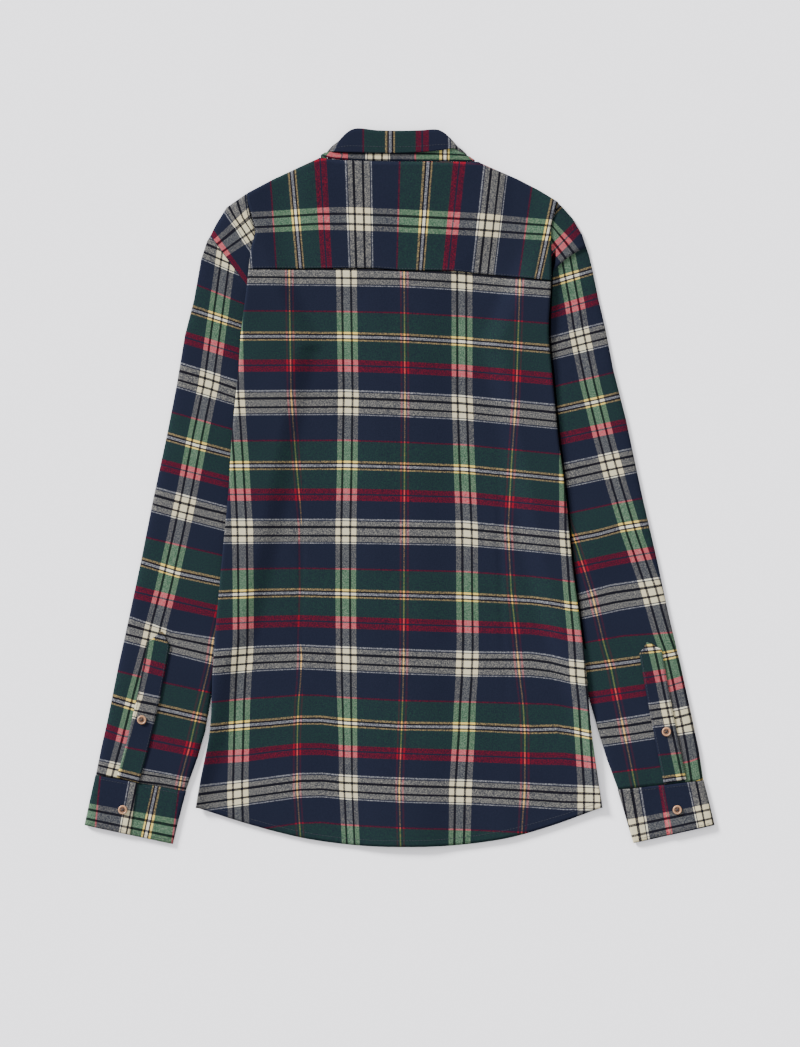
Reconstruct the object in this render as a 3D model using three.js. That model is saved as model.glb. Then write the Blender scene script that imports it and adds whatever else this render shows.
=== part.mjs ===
// A long-sleeved checked flannel shirt, laid face down on a flat surface with both sleeves folded down
// under its sides. Millimetres, +Z up out of the surface, +Y towards the collar, origin on the surface
// at the middle of the whole outline. Each cut piece of cloth is one closed wall.
import * as THREE from "three";

// Cloth and seams
const CLOTH = 1.2;
const CUFF_CLOTH = 1.6;
const SEAM = 0.3;

// Heights of the layers as they lie
const SLEEVE_HEIGHT = 4.6;
const SLEEVE_HEIGHT_BELOW_TUCK = 3.7;
const CUFF_HEIGHT = 5.2;
const BODY_HEIGHT = 4.4;
const ON_SLEEVE = SLEEVE_HEIGHT + SEAM;
const SHOULDER_LIFT = 1.8;
const BAND_BASE = 2.2;
const BUTTON_SIDE_BASE = 3.7;
const COLLAR_LIFT = 1.6;
const CENTRE_LIFT = 2.0;

// Body
const SHOULDER_END_Y = 318;
const UNDERARM_Y = 157;
const SIDE_HEM_Y = -352;
const YOKE_TOP_DROP = 35;
const BAND_HALF_WIDTH = 16;
const BAND_TOP = 275;
const NECK_LEFT = -88.3;
const NECK_RIGHT = 86.3;
const FRONT_NECK_X = 84;
const FRONT_HEM_SHORTER = 10;

// Buttons
const BUTTON_RADIUS = 5.2;
const BUTTON_HEIGHT = 1.9;
const SLEEVE_BUTTON_RADIUS = 5;
const FIRST_FRONT_BUTTON_Y = 222;
const FRONT_BUTTON_SPACING = 90;
const FRONT_BUTTONS = 6;
const COLLAR_BUTTON_Y = 292;

// Side edges of the back as it lies, from the hem up to the shoulders
const BODY_EDGES = [
  { y: -352, left: -225, right: 223 },
  { y: -323, left: -220, right: 218.5 },
  { y: -266, left: -211, right: 210.5 },
  { y: -200, left: -206, right: 204.5 },
  { y: -140, left: -201.5, right: 197 },
  { y: -79, left: -196, right: 189 },
  { y: -6, left: -189, right: 182 },
  { y: 57, left: -185, right: 174 },
  { y: 129, left: -178, right: 167 },
  { y: 170, left: -175, right: 163.5 },
  { y: 223, left: -168.5, right: 166 },
  { y: 263, left: -164, right: 166.5 },
  { y: 284, left: -159, right: 166 },
  { y: 299, left: -162.8, right: 168.5 },
  { y: SHOULDER_END_Y, left: -168, right: 175 },
  { y: 400, left: -168, right: 175 },
];

// Side seams, turned under the body, from the hem up to the underarms
const SIDE_SEAMS = [
  { y: -400, left: -219, right: 217 },
  { y: -352, left: -216, right: 214 },
  { y: -233, left: -196, right: 195 },
  { y: -123, left: -181, right: 181 },
  { y: -13, left: -157, right: 157 },
  { y: 75, left: -137, right: 137 },
  { y: 157, left: -112, right: 112 },
];

const HEM = [
  { x: -225, y: -352 },
  { x: -165, y: -371 },
  { x: -110, y: -385 },
  { x: -55, y: -393 },
  { x: 0, y: -395 },
  { x: 55, y: -393 },
  { x: 110, y: -385 },
  { x: 165, y: -371 },
  { x: 223, y: -352 },
];

const YOKE_SEAM = [
  { x: -166, y: 241 },
  { x: -32, y: 242 },
  { x: 0, y: 239.5 },
  { x: 55, y: 239 },
  { x: 106, y: 234 },
  { x: 166, y: 228 },
];

// Shoulder lines and the back of the neck
const SHOULDERS = [
  { x: -168, y: 323 },
  { x: -140, y: 339 },
  { x: -110, y: 353 },
  { x: NECK_LEFT, y: 363.5 },
  { x: -70, y: 361 },
  { x: -40, y: 359.6 },
  { x: 0, y: 359.2 },
  { x: 60, y: 358.9 },
  { x: NECK_RIGHT, y: 358.9 },
  { x: 110, y: 349 },
  { x: 130, y: 339 },
  { x: 154, y: 325.5 },
  { x: 175, y: 315 },
];

// Front of the neck, from the middle out to where the yoke begins
const FRONT_NECK = [
  { x: 0, y: 274 },
  { x: 19, y: 275 },
  { x: 42, y: 285.8 },
  { x: 69, y: 309.5 },
  { x: FRONT_NECK_X, y: 327 },
];

// Sleeves from the armhole to the cuff: the fold at the outer edge, the edge nearer the body, how far
// the section bows towards the shoulder, and the height of the two layers.
const LEFT_SLEEVE = [
  { outerX: -168.8, outerY: 323, innerX: -112.5, innerY: 157, bow: -6.5, height: SLEEVE_HEIGHT },
  { outerX: -189, outerY: 307, innerX: -113, innerY: 156, bow: -4, height: SLEEVE_HEIGHT },
  { outerX: -201, outerY: 290, innerX: -115.5, innerY: 154.5, bow: -2, height: SLEEVE_HEIGHT },
  { outerX: -208, outerY: 277, innerX: -117.5, innerY: 153, bow: 0, height: SLEEVE_HEIGHT },
  { outerX: -210.5, outerY: 271, innerX: -119, innerY: 150, bow: 0, height: SLEEVE_HEIGHT_BELOW_TUCK },
  { outerX: -218, outerY: 252, innerX: -122, innerY: 138, bow: 0, height: SLEEVE_HEIGHT_BELOW_TUCK },
  { outerX: -227, outerY: 207, innerX: -127, innerY: 113, bow: 0, height: SLEEVE_HEIGHT_BELOW_TUCK },
  { outerX: -237, outerY: 168, innerX: -131, innerY: 88, bow: 0, height: SLEEVE_HEIGHT_BELOW_TUCK },
  { outerX: -246, outerY: 113, innerX: -138, innerY: 53, bow: 0, height: SLEEVE_HEIGHT },
  { outerX: -257, outerY: 57, innerX: -146, innerY: 13, bow: 0, height: SLEEVE_HEIGHT },
  { outerX: -272, outerY: -13, innerX: -156, innerY: -41, bow: 0, height: SLEEVE_HEIGHT },
  { outerX: -285, outerY: -79, innerX: -169, innerY: -101, bow: 0, height: SLEEVE_HEIGHT },
  { outerX: -298, outerY: -140, innerX: -184, innerY: -160, bow: 0, height: SLEEVE_HEIGHT },
  { outerX: -310, outerY: -195, innerX: -205, innerY: -211, bow: 0, height: SLEEVE_HEIGHT },
  { outerX: -322, outerY: -255, innerX: -213, innerY: -270, bow: 0, height: SLEEVE_HEIGHT },
  { outerX: -329, outerY: -286, innerX: -223, innerY: -297, bow: 0, height: SLEEVE_HEIGHT },
  { outerX: -335, outerY: -315.7, innerX: -236, innerY: -333.7, bow: 0, height: SLEEVE_HEIGHT },
];
const RIGHT_SLEEVE = [
  { outerX: 175.8, outerY: 317, innerX: 112.5, innerY: 157, bow: 4, height: SLEEVE_HEIGHT },
  { outerX: 190, outerY: 297, innerX: 114, innerY: 156, bow: 3, height: SLEEVE_HEIGHT },
  { outerX: 199, outerY: 277, innerX: 116, innerY: 154, bow: 2, height: SLEEVE_HEIGHT },
  { outerX: 205, outerY: 263, innerX: 117.5, innerY: 152, bow: 0, height: SLEEVE_HEIGHT },
  { outerX: 207, outerY: 257, innerX: 119, innerY: 149, bow: 0, height: SLEEVE_HEIGHT_BELOW_TUCK },
  { outerX: 211, outerY: 238, innerX: 121, innerY: 138, bow: 0, height: SLEEVE_HEIGHT_BELOW_TUCK },
  { outerX: 217, outerY: 207, innerX: 125, innerY: 113, bow: 0, height: SLEEVE_HEIGHT_BELOW_TUCK },
  { outerX: 224, outerY: 179, innerX: 130, innerY: 88, bow: 0, height: SLEEVE_HEIGHT_BELOW_TUCK },
  { outerX: 235, outerY: 130, innerX: 138, innerY: 53, bow: 0, height: SLEEVE_HEIGHT },
  { outerX: 249, outerY: 75, innerX: 146, innerY: 13, bow: 0, height: SLEEVE_HEIGHT },
  { outerX: 267, outerY: -10, innerX: 156, innerY: -41, bow: 0, height: SLEEVE_HEIGHT },
  { outerX: 283, outerY: -79, innerX: 169, innerY: -101, bow: 0, height: SLEEVE_HEIGHT },
  { outerX: 296, outerY: -140, innerX: 184, innerY: -160, bow: 0, height: SLEEVE_HEIGHT },
  { outerX: 309, outerY: -195, innerX: 204, innerY: -216, bow: 0, height: SLEEVE_HEIGHT },
  { outerX: 321, outerY: -250, innerX: 219, innerY: -270, bow: 0, height: SLEEVE_HEIGHT },
  { outerX: 329, outerY: -288, innerX: 228, innerY: -299, bow: 0, height: SLEEVE_HEIGHT },
  { outerX: 334, outerY: -321.7, innerX: 240, innerY: -331.7, bow: 0, height: SLEEVE_HEIGHT },
];

// Cuffs, from the end of the sleeve to the wrist edge
const LEFT_CUFF = [
  { outerX: -335.5, outerY: -316, innerX: -235.5, innerY: -334, bow: 0, height: CUFF_HEIGHT },
  { outerX: -341.5, outerY: -343, innerX: -243, innerY: -362.5, bow: 0, height: CUFF_HEIGHT },
  { outerX: -347, outerY: -370, innerX: -250, innerY: -391, bow: 0, height: CUFF_HEIGHT },
];
const RIGHT_CUFF = [
  { outerX: 334.5, outerY: -322, innerX: 239.5, innerY: -332, bow: 0, height: CUFF_HEIGHT },
  { outerX: 340.5, outerY: -346, innerX: 248, innerY: -361, bow: 0, height: CUFF_HEIGHT },
  { outerX: 346, outerY: -370, innerX: 257, innerY: -390, bow: 0, height: CUFF_HEIGHT },
];

// The flattened section of a sleeve or cuff: how full it is at each part of its width
const FLAT_SECTION = [
  { across: 0, fullness: 0 },
  { across: 0.01, fullness: 0.52 },
  { across: 0.04, fullness: 0.86 },
  { across: 0.1, fullness: 1 },
  { across: 0.2, fullness: 1 },
  { across: 0.35, fullness: 1 },
  { across: 0.65, fullness: 1 },
  { across: 0.9, fullness: 1 },
  { across: 0.96, fullness: 0.86 },
  { across: 0.99, fullness: 0.52 },
  { across: 1, fullness: 0 },
];

// Sleeve plackets: the middle of the strip and its width, from the pointed top to the cuff
const LEFT_PLACKET = [
  { x: -262, y: -158, width: 1.2 },
  { x: -265.5, y: -172, width: 25 },
  { x: -276, y: -228, width: 25 },
  { x: -288, y: -280, width: 25 },
  { x: -299.4, y: -321.2, width: 25 },
];
const RIGHT_PLACKET = [
  { x: 271.5, y: -170, width: 1.2 },
  { x: 275.5, y: -180, width: 25 },
  { x: 284, y: -228, width: 25 },
  { x: 294, y: -280, width: 25 },
  { x: 302.6, y: -323.2, width: 25 },
];

// The collar round the neck, from the button end of the left front round the back to the right front:
// its turn from the back (0) to the front (180), the neck seam, the fold, and the edge of the leaf.
const COLLAR = [
  { turn: 180, seamX: 14, seamY: 276.2, foldX: 10, foldY: 311, leafX: 0, leafY: 0, lift: 0 },
  { turn: 180, seamX: -14, seamY: 276.4, foldX: -7, foldY: 312, leafX: -50, leafY: 247, lift: 0 },
  { turn: 180, seamX: -42, seamY: 288, foldX: -28, foldY: 321, leafX: -68, leafY: 272, lift: 0 },
  { turn: 172, seamX: -68, seamY: 313, foldX: -52, foldY: 338, leafX: -80, leafY: 312, lift: 0 },
  { turn: 150, seamX: -82, seamY: 335, foldX: -72, foldY: 357, leafX: -77, leafY: 346, lift: 0 },
  { turn: 100, seamX: -87.3, seamY: 364.6, foldX: -77, foldY: 374, leafX: -80, leafY: 369, lift: 0 },
  { turn: 45, seamX: -83, seamY: 364.6, foldX: -67, foldY: 381, leafX: -74, leafY: 369, lift: 0 },
  { turn: 10, seamX: -72, seamY: 361.9, foldX: -51, foldY: 395, leafX: -58, leafY: 369, lift: 0 },
  { turn: 0, seamX: -40, seamY: 360.1, foldX: -25, foldY: 393.5, leafX: -28, leafY: 368.6, lift: 0 },
  { turn: 0, seamX: 0, seamY: 359.6, foldX: 0, foldY: 393, leafX: 0, leafY: 368.5, lift: 0 },
  { turn: 0, seamX: 35, seamY: 359.5, foldX: 22, foldY: 393.5, leafX: 25, leafY: 369.5, lift: 0 },
  { turn: 10, seamX: 62, seamY: 359.4, foldX: 42, foldY: 394, leafX: 46, leafY: 371.5, lift: 0 },
  { turn: 35, seamX: 76, seamY: 359.4, foldX: 56, foldY: 384.5, leafX: 60, leafY: 373, lift: 0 },
  { turn: 60, seamX: 82, seamY: 359.8, foldX: 66, foldY: 375, leafX: 70, leafY: 367.5, lift: 0 },
  { turn: 100, seamX: 85.4, seamY: 359.8, foldX: 74.5, foldY: 368, leafX: 78, leafY: 365, lift: 0 },
  { turn: 150, seamX: 81, seamY: 333, foldX: 70, foldY: 353, leafX: 75.5, leafY: 343, lift: 0 },
  { turn: 172, seamX: 68, seamY: 313, foldX: 52, foldY: 338, leafX: 80, leafY: 312, lift: 0 },
  { turn: 180, seamX: 42, seamY: 288, foldX: 28, foldY: 321, leafX: 68, leafY: 272, lift: 0 },
  { turn: 180, seamX: 17, seamY: 276.6, foldX: 11, foldY: 312, leafX: 50, leafY: 247, lift: 0 },
  { turn: 180, seamX: 12, seamY: 276.2, foldX: 8, foldY: 312, leafX: 0, leafY: 0, lift: 1.5 },
  { turn: 180, seamX: -14, seamY: 276.2, foldX: -10, foldY: 311, leafX: 0, leafY: 0, lift: 1.5 },
];
const STAND_MIDDLE = 4.3;
const STAND_HALF_DEPTH = 2.1;
const LEAF_OUT = 2.2;
const LEAF_ROLL_AT_BACK = 0.9;
const FOLD_ROUND = 1.7;

// Colours of the finish, read as the eye blends the checks
const NAVY_CHECK = { color: 0x27364a, roughness: 0.95, metalness: 0 };
const CUFF_CHECK = { color: 0x2a3a48, roughness: 0.95, metalness: 0 };
const WOOD_BUTTON = { color: 0xb07840, roughness: 0.5, metalness: 0 };

const shirt = new THREE.Group();
shirt.name = "flannel_shirt";

function smoothStep(t) {
  const clamped = Math.min(1, Math.max(0, t));
  return clamped * clamped * (3 - 2 * clamped);
}

function range(count) {
  return Array.from({ length: count }, (unused, index) => index);
}

// Reads a column of a table along another column, in straight lines between its rows.
function along(table, keyName, columnName, key) {
  let last = 1;
  while (last < table.length - 1 && key > table[last][keyName]) last += 1;
  const low = table[last - 1];
  const high = table[last];
  const part = Math.min(1, Math.max(0, (key - low[keyName]) / (high[keyName] - low[keyName])));
  return low[columnName] + part * (high[columnName] - low[columnName]);
}

// The same, as a smooth curve through the rows.
function smoothAlong(table, keyName, columnName, key) {
  let last = 1;
  while (last < table.length - 1 && key > table[last][keyName]) last += 1;
  const slopeAt = (row) => {
    const before = table[Math.max(0, row - 1)];
    const after = table[Math.min(table.length - 1, row + 1)];
    return (after[columnName] - before[columnName]) / (after[keyName] - before[keyName]);
  };
  const low = table[last - 1];
  const high = table[last];
  const span = high[keyName] - low[keyName];
  const t = Math.min(1, Math.max(0, (key - low[keyName]) / span));
  return (
    low[columnName] * (1 + 2 * t) * (1 - t) ** 2 +
    slopeAt(last - 1) * span * t * (1 - t) ** 2 +
    high[columnName] * t * t * (3 - 2 * t) +
    slopeAt(last) * span * t * t * (t - 1)
  );
}

// One closed wall of cloth. The rows of points lie on its face side; its back is moved in by the
// thickness. Turned is true where the rows and columns run so that the face would look inwards, round
// closes the columns into a ring, and keep leaves out cells of the grid.
function clothWall(name, rows, finish, { thickness = CLOTH, turned = false, round = false, keep } = {}) {
  const columnCount = rows[0].length;
  const cellColumns = round ? columnCount : columnCount - 1;
  const isKept = (row, column) => {
    const wrapped = round ? (column + columnCount) % columnCount : column;
    if (row < 0 || row >= rows.length - 1 || wrapped < 0 || wrapped >= cellColumns) return false;
    return keep ? keep(row, wrapped) : true;
  };
  const indexOf = (row, column) => row * columnCount + (column % columnCount);
  const face = rows.flat();
  const normals = face.map(() => new THREE.Vector3());
  const cells = [];
  for (const row of range(rows.length - 1)) {
    for (const column of range(cellColumns)) {
      if (!isKept(row, column)) continue;
      const corners = [
        indexOf(row, column),
        indexOf(row, column + 1),
        indexOf(row + 1, column + 1),
        indexOf(row + 1, column),
      ];
      const [a, b, c, d] = corners.map((corner) => face[corner]);
      const normal = c.clone().sub(a).cross(d.clone().sub(b));
      if (turned) normal.negate();
      corners.forEach((corner) => normals[corner].add(normal));
      cells.push({ row, column, corners });
    }
  }
  const backOf = (corner) => corner + face.length;
  const back = face.map((point, index) =>
    point.clone().addScaledVector(normals[index].normalize(), -thickness),
  );
  const triangles = [];
  const addQuad = (a, b, c, d) => {
    if (turned) triangles.push(a, c, b, a, d, c);
    else triangles.push(a, b, c, a, c, d);
  };
  for (const { row, column, corners } of cells) {
    const [a, b, c, d] = corners;
    addQuad(a, b, c, d);
    addQuad(backOf(d), backOf(c), backOf(b), backOf(a));
    if (!isKept(row - 1, column)) addQuad(b, a, backOf(a), backOf(b));
    if (!isKept(row, column + 1)) addQuad(c, b, backOf(b), backOf(c));
    if (!isKept(row + 1, column)) addQuad(d, c, backOf(c), backOf(d));
    if (!isKept(row, column - 1)) addQuad(a, d, backOf(d), backOf(a));
  }
  const positions = [...face, ...back].flatMap((point) => [point.x, point.y, point.z]);
  const geometry = new THREE.BufferGeometry();
  geometry.setAttribute("position", new THREE.Float32BufferAttribute(positions, 3));
  geometry.setIndex(triangles);
  const facets = geometry.toNonIndexed();
  facets.computeVertexNormals();
  const mesh = new THREE.Mesh(facets, new THREE.MeshStandardMaterial(finish));
  mesh.name = name;
  shirt.add(mesh);
}

// Places of the body's edges and seams

// The armhole end of a sleeve as a curve: its x at a height y on the surface.
function armholeX(sleeve, y) {
  const { outerX, outerY, innerX, innerY, bow } = sleeve[0];
  const part = Math.min(1, Math.max(0, (outerY - y) / (outerY - innerY)));
  return outerX + part * (innerX - outerX) + bow * 4 * part * (1 - part);
}

function sleeveInnerX(sleeve, y) {
  if (y >= UNDERARM_Y) return armholeX(sleeve, y);
  const upwards = [...sleeve].reverse();
  return along(upwards, "innerY", "innerX", y);
}

const leftEdge = (y) => smoothAlong(BODY_EDGES, "y", "left", y);
const rightEdge = (y) => smoothAlong(BODY_EDGES, "y", "right", y);
const ARMHOLE_CLEARANCE = 0.7;

// The side seam below the underarm and the armhole above it, where the turned-under back meets the front.
function underLeftX(y) {
  if (y >= UNDERARM_Y) return armholeX(LEFT_SLEEVE, y) + ARMHOLE_CLEARANCE;
  return smoothAlong(SIDE_SEAMS, "y", "left", y) + ARMHOLE_CLEARANCE;
}

function underRightX(y) {
  if (y >= UNDERARM_Y) return armholeX(RIGHT_SLEEVE, y) - ARMHOLE_CLEARANCE;
  return smoothAlong(SIDE_SEAMS, "y", "right", y) - ARMHOLE_CLEARANCE;
}

// Height of each layer

// 1 where the body lies over a sleeve, easing to 0 past the sleeve's hidden edge.
function overSleeve(x, y) {
  const pastLeft = x - sleeveInnerX(LEFT_SLEEVE, y);
  const pastRight = sleeveInnerX(RIGHT_SLEEVE, y) - x;
  const flatPart = 1.5;
  const slopeLength = 30;
  return 1 - smoothStep((Math.min(pastLeft, pastRight) - flatPart) / slopeLength);
}

// 1 over the leaf of the collar at the front, easing to 0 round it.
function nearCollar(x, y) {
  const leafReach = 98;
  const slopeLength = 30;
  return 1 - smoothStep((Math.hypot(x, y - 326) - leafReach) / slopeLength);
}

// The front goes from the surface, where it meets the underside of the sleeve, up over the sleeve.
function frontRise(y) {
  return 1 - smoothStep((y - 185) / 115);
}

function frontBase(x, y) {
  return Math.max(ON_SLEEVE * overSleeve(x, y) * frontRise(y), COLLAR_LIFT * nearCollar(x, y));
}

function backBase(x, y) {
  const shoulderShare = SHOULDER_LIFT / ON_SLEEVE;
  const rise = 1 - (1 - shoulderShare) * smoothStep((y - 215) / 62);
  const overBand = CENTRE_LIFT * (1 - smoothStep((Math.abs(x) - 18) / 45));
  const overCollar = CENTRE_LIFT * nearCollar(x, y);
  return Math.max(ON_SLEEVE * overSleeve(x, y) * rise, overBand, overCollar);
}

const backTop = (x, y) => backBase(x, y) + BODY_HEIGHT;

// Where a column of the body, at a share of its width, meets a curve across it, by repeated steps.
const MEETING_STEPS = 11;
function meetCurve(share, leftOf, rightOf, curve, firstY) {
  let y = firstY;
  range(MEETING_STEPS).forEach(() => {
    y = curve(leftOf(y) + share * (rightOf(y) - leftOf(y)));
  });
  return y;
}

function evenShares(parts) {
  return range(parts + 1).map((step) => step / parts);
}

// Shares that put a column of points exactly at each of the given shares.
function sharesThrough(stops, partsBetween) {
  const shares = [stops[0]];
  stops.slice(1).forEach((stop, index) => {
    const before = stops[index];
    range(partsBetween[index]).forEach((step) => {
      shares.push(before + ((stop - before) * (step + 1)) / partsBetween[index]);
    });
  });
  return shares;
}

// Back panel: its sides fold round and under to the side seams.
function addBackPanel() {
  const rowCount = 20;
  const columnShares = evenShares(18);
  const seamY = (x) => along(YOKE_SEAM, "x", "y", x) - SEAM;
  const hemY = (x) => smoothAlong(HEM, "x", "y", x);
  const rows = range(rowCount + 1).map((row) => {
    const up = row / rowCount;
    const heightAt = (share) => {
      const low = meetCurve(share, leftEdge, rightEdge, hemY, SIDE_HEM_Y);
      const high = meetCurve(share, leftEdge, rightEdge, seamY, 0);
      return low + up * (high - low);
    };
    const foldUnder = (edgeX, seamX, y, inwards) => {
      const low = ON_SLEEVE * overSleeve(edgeX, y);
      const high = backTop(edgeX, y);
      const round = (high - low) / 2;
      const seamLow = ON_SLEEVE * overSleeve(seamX, y);
      const middleX = (edgeX + seamX) / 2;
      const middleLow = ON_SLEEVE * overSleeve(middleX, y);
      return [
        new THREE.Vector3(seamX, y, seamLow),
        new THREE.Vector3(middleX, y, middleLow),
        new THREE.Vector3(edgeX + inwards * round, y, low),
        new THREE.Vector3(edgeX + inwards * round * 0.3, y, low + round * 0.3),
        new THREE.Vector3(edgeX, y, low + round),
        new THREE.Vector3(edgeX + inwards * round * 0.3, y, high - round * 0.3),
      ];
    };
    const leftY = heightAt(0);
    const rightY = heightAt(1);
    const short = (y) => 2 * ARMHOLE_CLEARANCE + 6 * (1 - smoothStep(Math.abs(y - UNDERARM_Y) / 35));
    const left = foldUnder(leftEdge(leftY), underLeftX(leftY) - short(leftY), leftY, 1);
    const right = foldUnder(rightEdge(rightY), underRightX(rightY) + short(rightY), rightY, -1);
    const foldReach = 2.2;
    const top = columnShares.map((share) => {
      const y = heightAt(share);
      const x = leftEdge(y) + foldReach + share * (rightEdge(y) - leftEdge(y) - 2 * foldReach);
      return new THREE.Vector3(x, y, backTop(x, y));
    });
    return [...left, ...top, ...right.reverse()];
  });
  clothWall("back_panel", rows, NAVY_CHECK);
}

// Yoke: from the seam across the back, up to the neck, and over both shoulders to the front.
const YOKE_SHOULDER_PARTS = 6;
const YOKE_NECK_PARTS = 10;
const SHOULDER_WIDTH = rightEdge(SHOULDER_END_Y) - leftEdge(SHOULDER_END_Y);
const NECK_START = (NECK_LEFT - leftEdge(SHOULDER_END_Y)) / SHOULDER_WIDTH;
const NECK_END = (NECK_RIGHT - leftEdge(SHOULDER_END_Y)) / SHOULDER_WIDTH;
const YOKE_SHARES = sharesThrough(
  [0, NECK_START, NECK_END, 1],
  [YOKE_SHOULDER_PARTS, YOKE_NECK_PARTS, YOKE_SHOULDER_PARTS],
);

const shoulderY = (x) => along(SHOULDERS, "x", "y", x);

function yokeUnderPoint(share, drop) {
  const y = meetCurve(share, leftEdge, rightEdge, shoulderY, SHOULDER_END_Y) - drop;
  const x = underLeftX(y) + share * (underRightX(y) - underLeftX(y));
  return new THREE.Vector3(x, y, COLLAR_LIFT * nearCollar(x, y));
}

const yokeFrontEdge = () => YOKE_SHARES.map((share) => yokeUnderPoint(share, YOKE_TOP_DROP));

function addYoke() {
  const backRows = 7;
  const seamY = (x) => along(YOKE_SEAM, "x", "y", x) + SEAM;
  const columns = YOKE_SHARES.map((share) => {
    const low = meetCurve(share, leftEdge, rightEdge, seamY, 0);
    const high = meetCurve(share, leftEdge, rightEdge, shoulderY, SHOULDER_END_Y);
    const outOfNeck = Math.max(NECK_START - share, share - NECK_END, 0);
    const reach = Math.min(3, 0.3 + outOfNeck * 60);
    const pointAt = (y, z) => {
      const x = leftEdge(y) + share * (rightEdge(y) - leftEdge(y));
      return new THREE.Vector3(x, y, z === undefined ? backTop(x, y) : z);
    };
    const points = range(backRows + 1).map((row) => {
      const end = outOfNeck > 0 ? high - reach : high;
      return pointAt(low + (row / backRows) * (end - low));
    });
    const crown = pointAt(high);
    const base = COLLAR_LIFT * nearCollar(crown.x, high);
    const middle = (crown.z + base) / 2;
    points.push(pointAt(high - reach * 0.3, crown.z - (crown.z - middle) * 0.3));
    points.push(pointAt(high, middle));
    points.push(pointAt(high - reach * 0.3, base + (middle - base) * 0.3));
    const under = [reach, YOKE_TOP_DROP / 2, YOKE_TOP_DROP].map((drop) => yokeUnderPoint(share, drop));
    return [...points, ...under];
  });
  const rows = range(columns[0].length).map((row) => columns.map((column) => column[row]));
  const keep = (row, column) =>
    row < backRows ||
    column < YOKE_SHOULDER_PARTS ||
    column >= YOKE_SHOULDER_PARTS + YOKE_NECK_PARTS;
  clothWall("yoke", rows, NAVY_CHECK, { keep });
}

// Fronts: under the back, from the side seam to the band down the middle.
function addFront(name, isLeft) {
  const side = isLeft ? -1 : 1;
  const rowCount = 18;
  const buttonEdgeX = -14;
  const innerX = isLeft ? -BAND_HALF_WIDTH - SEAM : buttonEdgeX;
  const outerOf = isLeft ? underLeftX : underRightX;
  const yokeY = (x) => along(yokeFrontEdge(), "x", "y", x) - 2 * SEAM;
  const neckY = (x) => along(FRONT_NECK, "x", "y", Math.abs(x));
  const topY = (x) => (side * x > FRONT_NECK_X ? Math.min(yokeY(x), neckY(FRONT_NECK_X)) : neckY(x));
  const outerTopX = outerOf(SHOULDER_END_Y - YOKE_TOP_DROP);
  const neckShare = (side * FRONT_NECK_X - outerTopX) / (innerX - outerTopX);
  const bandShare = isLeft ? 0.8 : 0.72;
  const shares = sharesThrough([0, neckShare, bandShare, 1], [6, 3, 4]);
  const hemY = (x) => smoothAlong(HEM, "x", "y", x) + FRONT_HEM_SHORTER;
  const inner = () => innerX;
  const base = (x, y) => {
    const slopeLength = 18;
    const besideBand = 8;
    const pastBand = isLeft ? -BAND_HALF_WIDTH - SEAM - x : x - BAND_HALF_WIDTH - besideBand;
    const height = isLeft ? BAND_BASE : BUTTON_SIDE_BASE;
    return Math.max(frontBase(x, y), height * (1 - smoothStep(pastBand / slopeLength)));
  };
  const columns = shares.map((share) => {
    const low = meetCurve(share, outerOf, inner, hemY, SIDE_HEM_Y);
    const high = meetCurve(share, outerOf, inner, topY, SHOULDER_END_Y);
    return range(rowCount + 1).map((row) => {
      const y = low + (row / rowCount) * (high - low);
      const x = outerOf(y) + share * (innerX - outerOf(y));
      return new THREE.Vector3(x, y, base(x, y));
    });
  });
  const rows = range(rowCount + 1).map((row) => columns.map((column) => column[row]));
  clothWall(name, rows, NAVY_CHECK, { turned: isLeft });
}

function addButtonBand() {
  const rowCount = 14;
  const low = smoothAlong(HEM, "x", "y", 0) + FRONT_HEM_SHORTER;
  const rows = range(rowCount + 1).map((row) => {
    const y = low + (row / rowCount) * (BAND_TOP - low);
    return [1, 0.5, 0, -0.5, -1].map((part) => new THREE.Vector3(part * BAND_HALF_WIDTH, y, BAND_BASE));
  });
  clothWall("button_band", rows, NAVY_CHECK);
}

// A sleeve or a cuff: a tube of cloth lying flat, one ring of points for each row of its table.
function addFlatTube(name, table, finish, { thickness, isLeft }) {
  const overTop = FLAT_SECTION.map((part) => ({ ...part, side: 1 }));
  const underneath = FLAT_SECTION.slice(1, -1).map((part) => ({ ...part, side: -1 }));
  const section = [...overTop, ...underneath.reverse()];
  const rows = table.map(({ outerX, outerY, innerX, innerY, bow, height }) =>
    section.map(({ across, fullness, side }) => {
      const x = outerX + across * (innerX - outerX) + bow * 4 * across * (1 - across);
      const y = outerY + across * (innerY - outerY);
      return new THREE.Vector3(x, y, (height / 2) * (1 + side * fullness));
    }),
  );
  clothWall(name, rows, finish, { thickness, turned: isLeft, round: true });
}

function addSleevePlacket(name, table) {
  const top = SLEEVE_HEIGHT + SEAM + CLOTH;
  const rows = table.map(({ x, y, width }, index) => {
    const before = table[Math.max(0, index - 1)];
    const after = table[Math.min(table.length - 1, index + 1)];
    const across = new THREE.Vector3(after.y - before.y, before.x - after.x, 0).normalize();
    return [-0.5, 0, 0.5].map((part) =>
      new THREE.Vector3(x, y, top).addScaledVector(across, part * width),
    );
  });
  clothWall(name, rows, NAVY_CHECK);
}

// Collar: the stand is a band round the neck, and the leaf is folded over it outwards. A point of it
// lies at a height that turns from the back to the front, moved out of the band's own surface.
function collarPoint(row, x, y, out) {
  const angle = THREE.MathUtils.degToRad(row.turn);
  const up = new THREE.Vector3(row.foldX - row.seamX, row.foldY - row.seamY, 0).normalize();
  const outwards = new THREE.Vector3(Math.sign(row.seamX) * Math.sin(angle), 0, Math.cos(angle));
  outwards.addScaledVector(up, -outwards.dot(up)).normalize();
  const z = STAND_MIDDLE + STAND_HALF_DEPTH * Math.cos(angle) + row.lift;
  return new THREE.Vector3(x, y, z).addScaledVector(outwards, out);
}

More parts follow.
